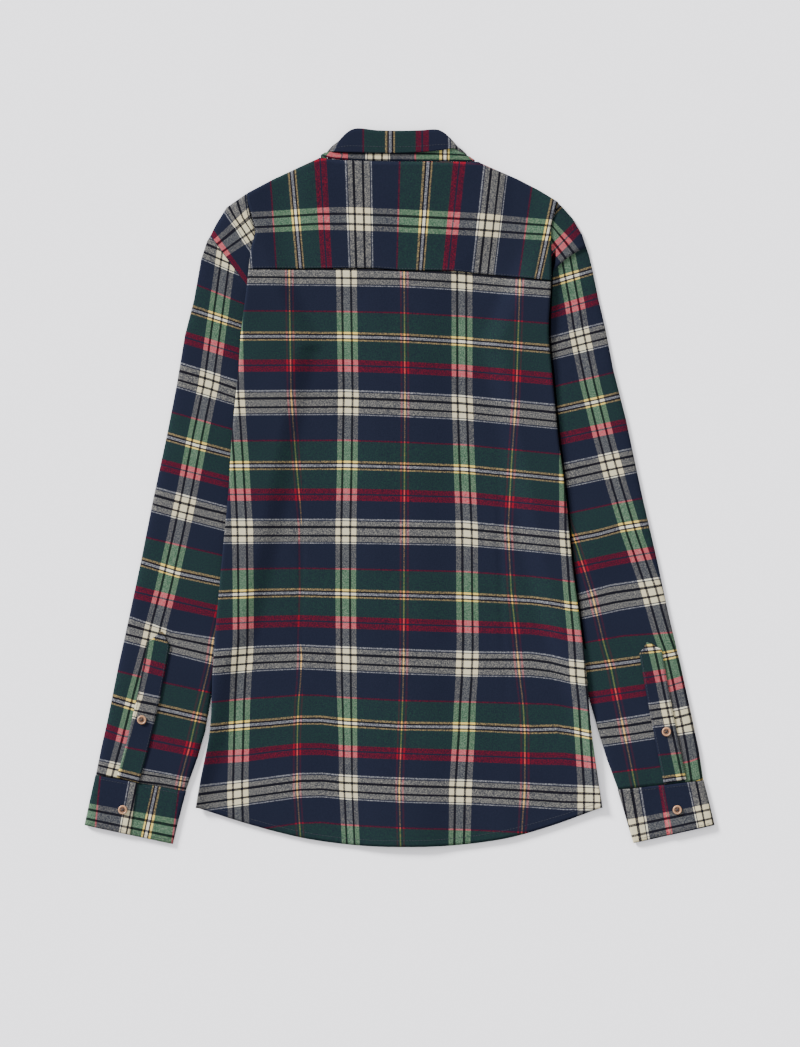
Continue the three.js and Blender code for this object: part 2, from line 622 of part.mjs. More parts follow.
function addCollarStand() {
  const belowFold = 5.2;
  const rows = [0, 0.5, 1].map((part) =>
    COLLAR.map((row, index) => {
      const before = COLLAR[Math.max(0, index - 1)];
      const after = COLLAR[Math.min(COLLAR.length - 1, index + 1)];
      const foldLine = new THREE.Vector2(after.foldX - before.foldX, after.foldY - before.foldY).normalize();
      const rise = new THREE.Vector2(row.foldX - row.seamX, row.foldY - row.seamY);
      const height = rise.length();
      const slant = Math.max(0.4, Math.abs(rise.cross(foldLine)) / height);
      const up = part * (1 - belowFold / slant / height);
      const x = row.seamX + up * (row.foldX - row.seamX);
      const y = row.seamY + up * (row.foldY - row.seamY);
      return collarPoint(row, x, y, 0);
    }),
  );
  clothWall("collar_stand", rows, NAVY_CHECK);
}

function addCollarLeaf() {
  const leafRows = COLLAR.filter((row) => row.leafY > 0);
  const beside = [
    { toFold: -0.9, out: -CLOTH, toLeaf: 0 },
    { toFold: -0.3, out: -CLOTH + FOLD_ROUND * 0.3, toLeaf: 0 },
    { toFold: 0, out: -CLOTH + FOLD_ROUND, toLeaf: 0 },
    { toFold: -0.3, out: LEAF_OUT - FOLD_ROUND * 0.3, toLeaf: 0 },
    { toFold: 0, out: LEAF_OUT, toLeaf: 0.12 },
    { toFold: 0, out: LEAF_OUT, toLeaf: 0.55 },
    { toFold: 0, out: LEAF_OUT, toLeaf: 1 },
  ];
  const rows = beside.map(({ toFold, out, toLeaf }) =>
    leafRows.map((row) => {
      const up = new THREE.Vector2(row.foldX - row.seamX, row.foldY - row.seamY).normalize();
      const atBack = (1 + Math.cos(THREE.MathUtils.degToRad(row.turn))) / 2;
      const x = row.foldX + toFold * FOLD_ROUND * up.x + toLeaf * (row.leafX - row.foldX);
      const y = row.foldY + toFold * FOLD_ROUND * up.y + toLeaf * (row.leafY - row.foldY);
      return collarPoint(row, x, y, out + (out > 0 ? atBack * LEAF_ROLL_AT_BACK : 0));
    }),
  );
  clothWall("collar_leaf", rows, NAVY_CHECK, { turned: true });
}

function addButton(name, x, y, z, radius) {
  const rim = 0.45;
  const profile = [
    new THREE.Vector2(0, 0),
    new THREE.Vector2(radius, 0),
    new THREE.Vector2(radius, BUTTON_HEIGHT - rim),
    new THREE.Vector2(radius - rim, BUTTON_HEIGHT),
    new THREE.Vector2(0, BUTTON_HEIGHT),
  ];
  const button = new THREE.Mesh(
    new THREE.LatheGeometry(profile, 14),
    new THREE.MeshStandardMaterial(WOOD_BUTTON),
  );
  button.name = name;
  button.rotation.x = Math.PI / 2;
  button.position.set(x, y, z);
  shirt.add(button);
}

addBackPanel();
addYoke();
addFront("front_left", true);
addFront("front_right", false);
addButtonBand();
addFlatTube("sleeve_left", LEFT_SLEEVE, NAVY_CHECK, { thickness: CLOTH, isLeft: true });
addFlatTube("sleeve_right", RIGHT_SLEEVE, NAVY_CHECK, { thickness: CLOTH, isLeft: false });
addFlatTube("cuff_left", LEFT_CUFF, CUFF_CHECK, { thickness: CUFF_CLOTH, isLeft: true });
addFlatTube("cuff_right", RIGHT_CUFF, CUFF_CHECK, { thickness: CUFF_CLOTH, isLeft: false });
addSleevePlacket("sleeve_placket_left", LEFT_PLACKET);
addSleevePlacket("sleeve_placket_right", RIGHT_PLACKET);
addCollarStand();
addCollarLeaf();

for (const count of range(FRONT_BUTTONS)) {
  const y = FIRST_FRONT_BUTTON_Y - count * FRONT_BUTTON_SPACING;
  addButton(`front_button_${count + 1}`, 0, y, 0, BUTTON_RADIUS);
}
addButton("collar_button", 0, COLLAR_BUTTON_Y, 0, BUTTON_RADIUS);
const onPlacket = SLEEVE_HEIGHT + SEAM + CLOTH + SEAM;
const onCuff = CUFF_HEIGHT + SEAM;
addButton("placket_button_left", -284, -255, onPlacket, SLEEVE_BUTTON_RADIUS);
addButton("placket_button_right", 293, -268, onPlacket, SLEEVE_BUTTON_RADIUS);
addButton("cuff_button_left", -305, -354, onCuff, SLEEVE_BUTTON_RADIUS);
addButton("cuff_button_right", 305, -354, onCuff, SLEEVE_BUTTON_RADIUS);

export default shirt;
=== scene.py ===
import math

import bmesh
import bpy
from mathutils import Matrix, Vector


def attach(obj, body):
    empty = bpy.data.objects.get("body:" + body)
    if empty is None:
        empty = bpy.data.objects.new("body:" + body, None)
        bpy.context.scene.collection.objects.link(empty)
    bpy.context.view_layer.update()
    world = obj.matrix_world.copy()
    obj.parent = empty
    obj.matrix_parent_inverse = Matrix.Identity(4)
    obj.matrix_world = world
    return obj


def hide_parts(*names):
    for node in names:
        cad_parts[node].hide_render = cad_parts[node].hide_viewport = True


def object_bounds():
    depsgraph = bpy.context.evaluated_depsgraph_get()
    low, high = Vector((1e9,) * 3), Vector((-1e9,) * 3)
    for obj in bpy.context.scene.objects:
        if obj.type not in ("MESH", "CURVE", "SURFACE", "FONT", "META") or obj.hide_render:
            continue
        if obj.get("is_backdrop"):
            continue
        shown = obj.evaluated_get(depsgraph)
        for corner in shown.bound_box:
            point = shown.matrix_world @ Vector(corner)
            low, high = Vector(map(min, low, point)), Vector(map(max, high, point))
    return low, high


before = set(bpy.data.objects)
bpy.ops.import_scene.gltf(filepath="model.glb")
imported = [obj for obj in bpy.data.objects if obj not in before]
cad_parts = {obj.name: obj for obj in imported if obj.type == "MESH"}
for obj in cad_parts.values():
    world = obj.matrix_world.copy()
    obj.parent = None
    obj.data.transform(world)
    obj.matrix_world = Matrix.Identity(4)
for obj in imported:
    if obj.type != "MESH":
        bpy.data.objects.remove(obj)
cad_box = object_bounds()

# Camera
# Straight above the shirt, the collar at the top of the picture. Millimetres throughout the tables
# of this script, turned into metres where a mesh is made.
MM = 0.001
CAMERA_HEIGHT = 3.006
FIELD_LENGTH = 1.1517
FIELD_MIDDLE_Y = -0.03905
SENSOR = 36

camera_data = bpy.data.cameras.new("camera")
camera_data.sensor_width = SENSOR
camera_data.lens = SENSOR * 3.0 / FIELD_LENGTH
camera = bpy.data.objects.new("camera", camera_data)
camera.location = (0, FIELD_MIDDLE_Y, CAMERA_HEIGHT)
bpy.context.scene.collection.objects.link(camera)
bpy.context.scene.camera = camera

# Floor and light
# A plain pale paper floor. A wide soft light stands low at the upper left, so that the shirt's
# shadow falls softly to the lower right, and the rest of the light comes from all round.
FLOOR_COLOUR = (0.93, 0.92, 0.965)
FLOOR_HALF_SIZE = 4
SUN_STRENGTH = 10.7
SUN_SOFTNESS = math.radians(14)
SUN_HEIGHT = math.radians(22)
SUN_SIDE = math.radians(-42)
ROOM_LIGHT = 1.28


def plain_material(name, colour, roughness):
    material = bpy.data.materials.new(name)
    material.use_nodes = True
    shader = material.node_tree.nodes["Principled BSDF"]
    shader.inputs["Base Color"].default_value = (*colour, 1)
    shader.inputs["Roughness"].default_value = roughness
    return material


def finish_mesh(name, mesh_tool, materials, smooth=True):
    mesh = bpy.data.meshes.new(name)
    mesh_tool.to_mesh(mesh)
    mesh_tool.free()
    for face in mesh.polygons:
        face.use_smooth = smooth
    for material in materials:
        mesh.materials.append(material)
    piece = bpy.data.objects.new(name, mesh)
    bpy.context.scene.collection.objects.link(piece)
    return piece


floor_tool = bmesh.new()
bmesh.ops.create_grid(floor_tool, x_segments=1, y_segments=1, size=FLOOR_HALF_SIZE)
floor = finish_mesh("floor", floor_tool, [plain_material("floor_paper", FLOOR_COLOUR, 0.9)])
floor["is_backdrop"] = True

sun_data = bpy.data.lights.new("sun", "SUN")
sun_data.energy = SUN_STRENGTH
sun_data.angle = SUN_SOFTNESS
sun = bpy.data.objects.new("sun", sun_data)
sun.rotation_euler = (0, math.radians(90) - SUN_HEIGHT, math.radians(180) + SUN_SIDE)
bpy.context.scene.collection.objects.link(sun)

world = bpy.data.worlds.new("room")
world.use_nodes = True
world.node_tree.nodes["Background"].inputs["Color"].default_value = (1, 1, 1, 1)
world.node_tree.nodes["Background"].inputs["Strength"].default_value = ROOM_LIGHT
bpy.context.scene.world = world

# Flannel
# A 2/2 twill of dyed yarns, brushed on both sides. Each check is one list of stripes along the cloth
# and one across it, in millimetres; where two yarns of different colour cross, the eye blends them.
WARP_REPEAT = 126.5
WEFT_REPEAT = 141.9
YARNS = {
    "navy": (0.196, 0.210, 0.266),
    "green": (0.194, 0.333, 0.262),
    "red": (0.61, 0.15, 0.22),
    "thin_red": (0.53, 0.15, 0.22),
    "gold": (0.85, 0.70, 0.35),
    "black": (0.168, 0.163, 0.181),
    "white": (0.80, 0.79, 0.77),
    "cream": (0.745, 0.715, 0.62),
    "grey_cream": (0.755, 0.745, 0.66),
    "warp_red": (0.45, 0.19, 0.25),
    "warp_gold": (0.78, 0.58, 0.31),
}
WARP_STRIPES = [
    ("grey_cream", 3.6), ("black", 2.6), ("cream", 5.2), ("navy", 48.0), ("warp_red", 2.0), ("navy", 1.9),
    ("warp_gold", 1.7), ("navy", 1.9), ("warp_red", 2.1), ("navy", 46.5), ("cream", 4.8), ("black", 2.7),
    ("grey_cream", 3.5),
]
WEFT_STRIPES = [
    ("navy", 27.1), ("thin_red", 1.5), ("green", 21.8), ("gold", 1.8), ("black", 1.7), ("white", 2.9),
    ("black", 1.7), ("gold", 1.6), ("green", 20.6), ("red", 5.5), ("navy", 1.8), ("red", 5.8),
    ("navy", 20.2), ("white", 1.3), ("navy", 1.2), ("cream", 5.4), ("black", 2.3), ("cream", 7.3),
    ("black", 2.1), ("cream", 5.9), ("navy", 1.0), ("white", 1.4),
]
MOTTLE = 0.85
TWILL = 0.10
TWILL_PITCH = 1.3
DARKER_SHARE = 0.37
PALER_SHARE = 0.5
WEFT_SHARE = 0.575
EYE_GAMMA = 3


def stripe_ramp(nodes, stripes):
    ramp = nodes.new("ShaderNodeValToRGB")
    ramp.color_ramp.interpolation = "CONSTANT"
    total = sum(width for _, width in stripes)
    place = 0
    for index, (yarn, width) in enumerate(stripes):
        if index < 2:
            stop = ramp.color_ramp.elements[index]
            stop.position = place / total
        else:
            stop = ramp.color_ramp.elements.new(place / total)
        stop.color = (*YARNS[yarn], 1)
        place += width
    return ramp


def math_node(nodes, links, operation, first, second=None, third=None):
    node = nodes.new("ShaderNodeMath")
    node.operation = operation
    for socket, value in zip(node.inputs, (first, second, third)):
        if value is None:
            continue
        if isinstance(value, (int, float)):
            socket.default_value = value
        else:
            links.new(value, socket)
    return node.outputs[0]


def mix_colours(nodes, links, blend, factor, first, second):
    node = nodes.new("ShaderNodeMix")
    node.data_type = "RGBA"
    node.blend_type = blend
    if isinstance(factor, (int, float)):
        node.inputs[0].default_value = factor
    else:
        links.new(factor, node.inputs[0])
    links.new(first, node.inputs[6])
    links.new(second, node.inputs[7])
    return node.outputs[2]


def brightness(nodes, links, ramp):
    node = nodes.new("ShaderNodeRGBToBW")
    links.new(ramp.outputs[0], node.inputs[0])
    return node.outputs[0]


def noise_node(nodes, links, vector, scale):
    noise = nodes.new("ShaderNodeTexNoise")
    noise.inputs["Scale"].default_value = scale
    noise.inputs["Detail"].default_value = 2
    links.new(vector, noise.inputs["Vector"])
    return noise.outputs[0]


def flannel_material(name, light=1.0):
    material = bpy.data.materials.new(name)
    material.use_nodes = True
    nodes = material.node_tree.nodes
    links = material.node_tree.links
    shader = nodes["Principled BSDF"]
    cloth_place = nodes.new("ShaderNodeUVMap")
    cloth_place.uv_map = "cloth"
    parts = nodes.new("ShaderNodeSeparateXYZ")
    links.new(cloth_place.outputs[0], parts.inputs[0])
    across, down = parts.outputs[0], parts.outputs[1]
    warp = stripe_ramp(nodes, WARP_STRIPES)
    weft = stripe_ramp(nodes, WEFT_STRIPES)
    links.new(math_node(nodes, links, "FRACT", across), warp.inputs[0])
    links.new(math_node(nodes, links, "FRACT", down), weft.inputs[0])
    object_place = nodes.new("ShaderNodeTexCoord").outputs["Object"]
    mottle = noise_node(nodes, links, object_place, 850)
    shade = noise_node(nodes, links, object_place, 14)
    diagonal = math_node(
        nodes, links, "ADD",
        math_node(nodes, links, "MULTIPLY", across, 2 * math.pi * WARP_REPEAT / TWILL_PITCH),
        math_node(nodes, links, "MULTIPLY", down, 2 * math.pi * WEFT_REPEAT / TWILL_PITCH),
    )
    rib = math_node(nodes, links, "SINE", diagonal)
    share = math_node(
        nodes, links, "ADD",
        math_node(nodes, links, "MULTIPLY_ADD", mottle, 2 * MOTTLE, WEFT_SHARE - MOTTLE),
        math_node(nodes, links, "MULTIPLY", rib, TWILL),
    )
    blended = mix_colours(nodes, links, "MIX", share, warp.outputs[0], weft.outputs[0])
    darker = mix_colours(nodes, links, "DARKEN", 1.0, warp.outputs[0], weft.outputs[0])
    mixed = mix_colours(nodes, links, "MIX", DARKER_SHARE, blended, darker)
    contrast = math_node(nodes, links, "SUBTRACT", brightness(nodes, links, warp), brightness(nodes, links, weft))
    greyer = nodes.new("ShaderNodeHueSaturation")
    links.new(mixed, greyer.inputs["Color"])
    saturation = math_node(
        nodes, links, "MULTIPLY_ADD", math_node(nodes, links, "ABSOLUTE", contrast), -PALER_SHARE, 1
    )
    links.new(saturation, greyer.inputs["Saturation"])
    seen = greyer.outputs[0]
    gamma = nodes.new("ShaderNodeGamma")
    gamma.inputs[1].default_value = EYE_GAMMA
    links.new(seen, gamma.inputs[0])
    # light below 1 makes a darker copy of the flannel, which is painted shade.
    fluff = math_node(nodes, links, "MULTIPLY_ADD", mottle, 0.5 * light, 0.75 * light)
    tone = math_node(nodes, links, "MULTIPLY", fluff, math_node(nodes, links, "MULTIPLY_ADD", shade, 0.2, 0.9))
    toned = nodes.new("ShaderNodeVectorMath")
    toned.operation = "SCALE"
    links.new(gamma.outputs[0], toned.inputs[0])
    links.new(tone, toned.inputs["Scale"])
    links.new(toned.outputs[0], shader.inputs["Base Color"])
    shader.inputs["Roughness"].default_value = 0.95
    shader.inputs["Specular IOR Level"].default_value = 0.03
    bump = nodes.new("ShaderNodeBump")
    bump.inputs["Strength"].default_value = 0.25
    bump.inputs["Distance"].default_value = 0.0003
    links.new(share, bump.inputs["Height"])
    links.new(bump.outputs[0], shader.inputs["Normal"])
    return material


flannel = flannel_material("flannel")
# A darker copy of the flannel: painted shade for the strip of the right sleeve in the crack beside the body's edge.
flannel_painted_shade = flannel_material("flannel_painted_shade", 0.16)

# Tables and cloth grids
# Helpers for the pieces below: reading a small table of measured places along a curve, and laying a
# grid of cloth on a form, with the place of each point in the check kept in the UV map "cloth".
CLOTH = 1.2


def smooth(t):
    t = min(1.0, max(0.0, t))
    return t * t * (3 - 2 * t)


def bracket(keys, key):
    last = 1
    while last < len(keys) - 1 and key > keys[last]:
        last += 1
    return last


def along(table, key, column=1):
    keys = [row[0] for row in table]
    last = bracket(keys, key)
    low, high = table[last - 1], table[last]
    part = min(1.0, max(0.0, (key - low[0]) / (high[0] - low[0])))
    return low[column] + part * (high[column] - low[column])


def smooth_along(table, key, column=1):
    keys = [row[0] for row in table]
    last = bracket(keys, key)

    def slope(index):
        before = table[max(0, index - 1)]
        after = table[min(len(table) - 1, index + 1)]
        return (after[column] - before[column]) / (after[0] - before[0])

    low, high = table[last - 1], table[last]
    span = high[0] - low[0]
    t = min(1.0, max(0.0, (key - low[0]) / span))
    return (
        low[column] * (1 + 2 * t) * (1 - t) ** 2
        + slope(last - 1) * span * t * (1 - t) ** 2
        + high[column] * t * t * (3 - 2 * t)
        + slope(last) * span * t * t * (t - 1)
    )


def line_through(points, key, read):
    """Follows a line of points, straight on past its ends."""
    last = bracket([p[read] for p in points], key)
    low, high = points[last - 1], points[last]
    part = (key - low[read]) / (high[read] - low[read])
    return low[1 - read] + part * (high[1 - read] - low[1 - read])


def between_lines(lines, x, y, read, turn=1):
    """Where a point is in the check, from a list of lines, each with its place in the check. They run
    across (read 0) or along (read 1), in the order in which turn times their other ordinate rises."""
    key, value = ((x, y), (y, x))[read]
    places = [(turn * line_through(points, key, read), place) for place, points in lines]
    at = turn * value
    spacing = (places[-1][1] - places[0][1]) / (places[-1][0] - places[0][0])
    if at <= places[0][0]:
        return places[0][1] + spacing * (at - places[0][0])
    if at >= places[-1][0]:
        return places[-1][1] + spacing * (at - places[-1][0])
    last = bracket([p[0] for p in places], at)
    low, high = places[last - 1], places[last]
    return low[1] + (high[1] - low[1]) * (at - low[0]) / (high[0] - low[0])


def cloth_grid(name, columns, rows, shape, pattern, zone=None, turned=False, round_=False, drop=None, wall=CLOTH, dark=None):
    """A piece of cloth from a grid. shape(column, row) gives a point in millimetres and where its check
    is read: a point of the piece's top and the distance on from there. pattern turns these, and the
    zone that a face lies in, into a place in the check."""
    tool = bmesh.new()
    cloth_map = tool.loops.layers.uv.new("cloth")
    bmesh.ops.create_grid(tool, x_segments=columns, y_segments=rows, size=0.5)
    corners = {v: (round((v.co.x + 0.5) * columns), round((v.co.y + 0.5) * rows)) for v in tool.verts}
    points = {corner: shape(*corner) for corner in corners.values()}
    checks = {}
    gone = []
    for face in tool.faces:
        column, row = (sum(corners[v][k] for v in face.verts) / 4 for k in (0, 1))
        if drop and drop(column, row):
            gone.append(face)
        face_zone = zone(column, row) if zone else 0
        # Faces that dark picks take the second material, the darker flannel, which is painted shade.
        face.material_index = 1 if dark and dark(column, row) else 0
        for loop in face.loops:
            key = (corners[loop.vert], face_zone)
            if key not in checks:
                checks[key] = pattern(*points[key[0]][3:], face_zone)
            loop[cloth_map].uv = checks[key]
    bmesh.ops.delete(tool, geom=gone, context="FACES")
    for v in tool.verts:
        v.co = Vector(points[corners[v]][:3]) * MM
    if round_:
        bmesh.ops.remove_doubles(tool, verts=[v for v in tool.verts if v.is_boundary], dist=1e-6)
    if turned:
        bmesh.ops.reverse_faces(tool, faces=tool.faces)
    piece = finish_mesh(name, tool, [flannel, flannel_painted_shade] if dark else [flannel])
    solid = piece.modifiers.new("wall", "SOLIDIFY")
    solid.thickness = wall * MM
    solid.offset = -1
    return piece


def place_piece(piece, node):
    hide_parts(node)
    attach(piece, "root")


# Outline and layers of the body
# Edges as the shirt lies, and how high each layer is over the sleeves, the button band and the collar.
SEAM = 0.3
SLEEVE_HEIGHT = 4.6
ON_SLEEVE = SLEEVE_HEIGHT + SEAM
BODY_HEIGHT = 4.4
SHOULDER_LIFT = 1.8
CENTRE_LIFT = 2.0
COLLAR_LIFT = 1.6
UNDERARM_Y = 157
ARMHOLE_CLEARANCE = 0.7
BODY_EDGES = [
    (-352, -225, 223), (-323, -220, 218.5), (-266, -209.2, 210.5), (-200, -206, 204.5),
    (-140, -201.5, 197), (-79, -196, 189), (-6, -189, 182), (57, -185, 174), (129, -178, 167),
    (170, -175, 163.5), (223, -168.5, 166), (263, -164, 166.5), (284, -159, 166), (299, -162.8, 168.5),
    (318, -168, 175), (400, -168, 175),
]
SIDE_SEAMS = [
    (-400, -219, 217), (-352, -216, 214), (-233, -196, 195), (-123, -181, 181), (-13, -157, 157),
    (75, -137, 137), (157, -112, 112),
]
HEM = [
    (-225, -352), (-165, -371), (-110, -385), (-55, -393), (0, -395), (55, -393), (110, -385),
    (165, -371), (223, -352),
]
YOKE_SEAM = [(-166, 241), (-32, 242), (0, 239.5), (55, 239), (106, 234), (166, 228)]
SHOULDERS = [
    (-168, 325), (-140, 340), (-110, 353.8), (-88.3, 363.5), (-70, 361), (-40, 359.6), (0, 359.2),
    (60, 358.9), (86.3, 358.9), (110, 349), (130, 340.5), (154, 328), (175, 315),
]
LEFT_SLEEVE = [
    (-168.8, 324.5, -112.5, 157, -6.5, 4.6), (-191, 309, -113, 156, -4, 4.6),
    (-202.3, 291, -115.5, 154.5, -2, 4.6), (-209, 277.5, -117.5, 153, 0, 4.6),
    (-212.5, 272, -119, 150, 0, 3.7), (-219, 252, -122, 138, 0, 3.7), (-227, 207, -127, 113, 0, 3.7),
    (-237, 168, -131, 88, 0, 3.7), (-246, 113, -138, 53, 0, 4.6), (-257, 57, -146, 13, 0, 4.6),
    (-272, -13, -156, -41, 0, 4.6), (-285, -79, -169, -101, 0, 4.6), (-298, -140, -184, -160, 0, 4.6),
    (-310, -195, -204, -207, 0, 4.6), (-322, -255, -214.5, -268, 0, 4.6), (-329, -286, -223, -297, 0, 4.6),
    (-335, -315.7, -236, -333.7, 0, 4.6),
]
RIGHT_SLEEVE = [
    (174, 314.5, 112.5, 157, 4, 4.6), (190, 297, 114, 156, 3, 4.6), (200.5, 279, 116, 154, 2, 4.6),
    (205.5, 264, 117.5, 152, 0, 4.6), (208, 257, 119, 149, 0, 3.7), (212.5, 238, 121, 138, 0, 3.7),
    (218.5, 208, 125, 113, 0, 3.7), (225.5, 179, 130, 88, 0, 3.7), (235, 130, 138, 53, 0, 4.6),
    (249, 75, 146, 13, 0, 4.6), (267, -10, 156, -41, 0, 4.6), (283, -79, 169, -101, 0, 4.6),
    (296, -140, 184, -160, 0, 4.6), (309, -195, 204, -216, 0, 4.6), (321, -250, 219, -270, 0, 4.6),
    (329, -288, 228, -299, 0, 4.6), (334, -321.7, 240, -331.7, 0, 4.6),
]


def left_edge(y):
    return smooth_along(BODY_EDGES, y, 1)


def right_edge(y):
    return smooth_along(BODY_EDGES, y, 2)


def armhole_x(sleeve, y):
    outer_x, outer_y, inner_x, inner_y, bow, _ = sleeve[0]
    part = min(1.0, max(0.0, (outer_y - y) / (outer_y - inner_y)))
    return outer_x + part * (inner_x - outer_x) + bow * 4 * part * (1 - part)


def sleeve_inner_x(sleeve, y):
    if y >= UNDERARM_Y:
        return armhole_x(sleeve, y)
    return along([(row[3], row[2]) for row in reversed(sleeve)], y)


def under_left_x(y):
    if y >= UNDERARM_Y:
        return armhole_x(LEFT_SLEEVE, y) + ARMHOLE_CLEARANCE
    return smooth_along(SIDE_SEAMS, y, 1) + ARMHOLE_CLEARANCE


def under_right_x(y):
    if y >= UNDERARM_Y:
        return armhole_x(RIGHT_SLEEVE, y) - ARMHOLE_CLEARANCE
    return smooth_along(SIDE_SEAMS, y, 2) - ARMHOLE_CLEARANCE


def over_sleeve(x, y):
    past = min(x - sleeve_inner_x(LEFT_SLEEVE, y), sleeve_inner_x(RIGHT_SLEEVE, y) - x)
    return 1 - smooth((past - 1.5) / 30)


def near_collar(x, y):
    return 1 - smooth((math.hypot(x, y - 326) - 98) / 30)


def front_base(x, y):
    rise = 1 - smooth((y - 185) / 115)
    return max(ON_SLEEVE * over_sleeve(x, y) * rise, COLLAR_LIFT * near_collar(x, y))


def back_base(x, y):
    rise = 1 - (1 - SHOULDER_LIFT / ON_SLEEVE) * smooth((y - 215) / 62)
    over_band = CENTRE_LIFT * (1 - smooth((abs(x) - 18) / 45))
    over_collar = CENTRE_LIFT * near_collar(x, y)
    return max(ON_SLEEVE * over_sleeve(x, y) * rise, over_band, over_collar)


def meet(share, left_of, right_of, curve, y):
    for _ in range(11):
        y = curve(left_of(y) + share * (right_of(y) - left_of(y)))
    return y


def seam_y(x):
    return along(YOKE_SEAM, x)


def hem_y(x):
    return smooth_along(HEM, x)


def shoulder_y(x):
    return along(SHOULDERS, x)


# Back panel
# One piece of the check from the yoke seam to the curved hem, taken in by two long waist darts. Its
# sides roll round and under to the side seams.
UNDER_COLUMNS = 4
FOLD_COLUMNS = 6
DART_COLUMNS = (30, 55, 30)
TOP_COLUMNS = sum(DART_COLUMNS)
TOP_START = UNDER_COLUMNS + FOLD_COLUMNS
BACK_COLUMNS = 2 * TOP_START + TOP_COLUMNS
BACK_ROWS = 170
FOLD_REACH = 2.2
ROUND_LENGTH = 1.3
DART_TOP, DART_WAIST = 75, -70
LEFT_DART_ANCHOR, RIGHT_DART_ANCHOR = 2, 7
DART_ENDS = {LEFT_DART_ANCHOR: -240, RIGHT_DART_ANCHOR: -300}
# Places of the stripes along the cloth, in rows from the hem up: x and the place in the check. Each
# dart has two, one for the cloth on each side of its seam.
BODY_WARP = [
    (-378.4, [(-178.2, -1), (-110.0, -0.4913), (-105.6, -0.455), (-105.6, -0.455), (-55.0, 0),
              (0.0, 0.5087), (64.9, 1), (116.6, 1.374), (116.6, 1.374), (133.8, 1.5087), (208.1, 2)]),
    (-331.1, [(-179.2, -1), (-113.3, -0.4913), (-106.7, -0.434), (-106.7, -0.434), (-57.2, 0),
              (-1.1, 0.5087), (65.8, 1), (116.6, 1.362), (116.6, 1.362), (137.1, 1.5087), (208.1, 2)]),
    (-271.7, [(-177.7, -1), (-113.1, -0.4913), (-106.7, -0.434), (-106.7, -0.434), (-58.0, 0),
              (1.1, 0.5087), (69.9, 1), (117.2, 1.354), (117.2, 1.354), (137.3, 1.5087), (203.8, 2)]),
    (-237.6, [(-176.9, -1), (-112.0, -0.4913), (-106.7, -0.4495), (-106.7, -0.4), (-58.7, 0),
              (2.5, 0.5087), (71.5, 1), (117.5, 1.36), (117.5, 1.37), (135.2, 1.5087), (201.7, 2)]),
    (-211.2, [(-175.7, -1), (-109.6, -0.4913), (-107.3, -0.473), (-107.3, -0.38), (-59.2, 0),
              (3.2, 0.5087), (73.4, 1), (117.2, 1.34), (117.2, 1.392), (132.0, 1.5087), (198.9, 2)]),
    (-185.9, [(-174.0, -1), (-110.0, -0.502), (-107.8, -0.485), (-107.8, -0.385), (-59.5, 0),
              (3.7, 0.5087), (74.4, 1), (115.0, 1.32), (115.0, 1.398), (129.4, 1.5087), (197.5, 2)]),
    (-167.2, [(-172.9, -1), (-110.9, -0.5087), (-109.7, -0.4985), (-109.7, -0.396), (-59.8, 0),
              (3.9, 0.5087), (74.9, 1), (113.3, 1.307), (113.3, 1.3957), (127.8, 1.5087), (196.4, 2)]),
    (-112.2, [(-172.9, -1), (-109.7, -0.515), (-108.5, -0.505), (-108.5, -0.382), (-60.2, 0),
              (4.1, 0.5087), (74.2, 1), (112.0, 1.3026), (112.0, 1.4287), (122.1, 1.5087), (191.4, 2)]),
    (-46.2, [(-173.8, -1), (-109.7, -0.5087), (-108.5, -0.5), (-108.5, -0.3835), (-60.0, 0),
             (4.4, 0.5087), (73.7, 1), (110.6, 1.2913), (110.6, 1.4435), (118.8, 1.5087), (187.0, 2)]),
    (30.8, [(-177.7, -1), (-114.6, -0.4913), (-108.1, -0.44), (-108.1, -0.394), (-58.3, 0), (4.8, 0.5087),
            (70.4, 1), (108.4, 1.3), (108.4, 1.3957), (122.7, 1.5087), (185.9, 2)]),
    (102.3, [(-182.7, -1), (-119.9, -0.4913), (-107.8, -0.398), (-107.8, -0.398), (-57.2, 0),
             (5.3, 0.5087), (67.9, 1), (106.7, 1.307), (106.7, 1.3435), (127.6, 1.5087), (190.3, 2)]),
    (239.8, [(-185.9, -1), (-122.1, -0.4913), (-106.7, -0.3696), (-106.7, -0.3696), (-59.4, 0),
             (4.4, 0.5087), (67.7, 1), (104.5, 1.2913), (104.5, 1.2913), (132.0, 1.5087), (194.7, 2)]),
]
BODY_WEFT = [
    (0.9016, [(-165, 237), (-90, 236.5), (0, 235), (66, 231.5), (135.5, 225.5), (163, 223.5)]),
    (1.9016, [(-181.5, 93.5), (-60.5, 94.5), (0, 92), (68, 88.5), (163, 79)]),
    (2.9016, [(-179.5, -47.5), (-60.5, -47.5), (71.5, -49.5), (181.5, -60.5)]),
    (3.9016, [(-198, -190.5), (-154, -187), (-110, -185.5), (-60.5, -188), (0, -190.5), (77, -193.5),
              (144, -193.5), (165, -196.5), (185, -201.5), (203, -203.5)]),
    (4.391, [(-198, -263.5), (-165.5, -260.5), (-139, -258.5), (-109.5, -255.5), (-86, -255.5),
             (-60.5, -258.5), (0, -262), (77, -263), (143, -266), (172.5, -265), (189, -267.5),
             (211, -272)]),
    (4.615, [(-198, -295.5), (-168.5, -294), (-139, -290), (-109.5, -287), (-86, -287), (-60.5, -289.5),
             (77, -294.5), (150.5, -297.5), (180, -297.5), (203.5, -300.5)]),
    (4.9016, [(-198, -339), (-168.5, -335), (-139, -331), (-109.5, -327), (-86, -326.5), (-60.5, -329),
              (0, -332), (77, -334.5), (136, -337.5), (180, -340.5), (215.5, -341)]),
]


def dart_x(anchor, y):
    return along([(height, places[anchor][0]) for height, places in BODY_WARP], y)


def dart_depth(anchor, y):
    if y > DART_WAIST:
        return 1 - smooth((y - DART_WAIST) / (DART_TOP - DART_WAIST))
    return 1 - smooth((DART_WAIST - y) / (DART_WAIST - DART_ENDS[anchor]))


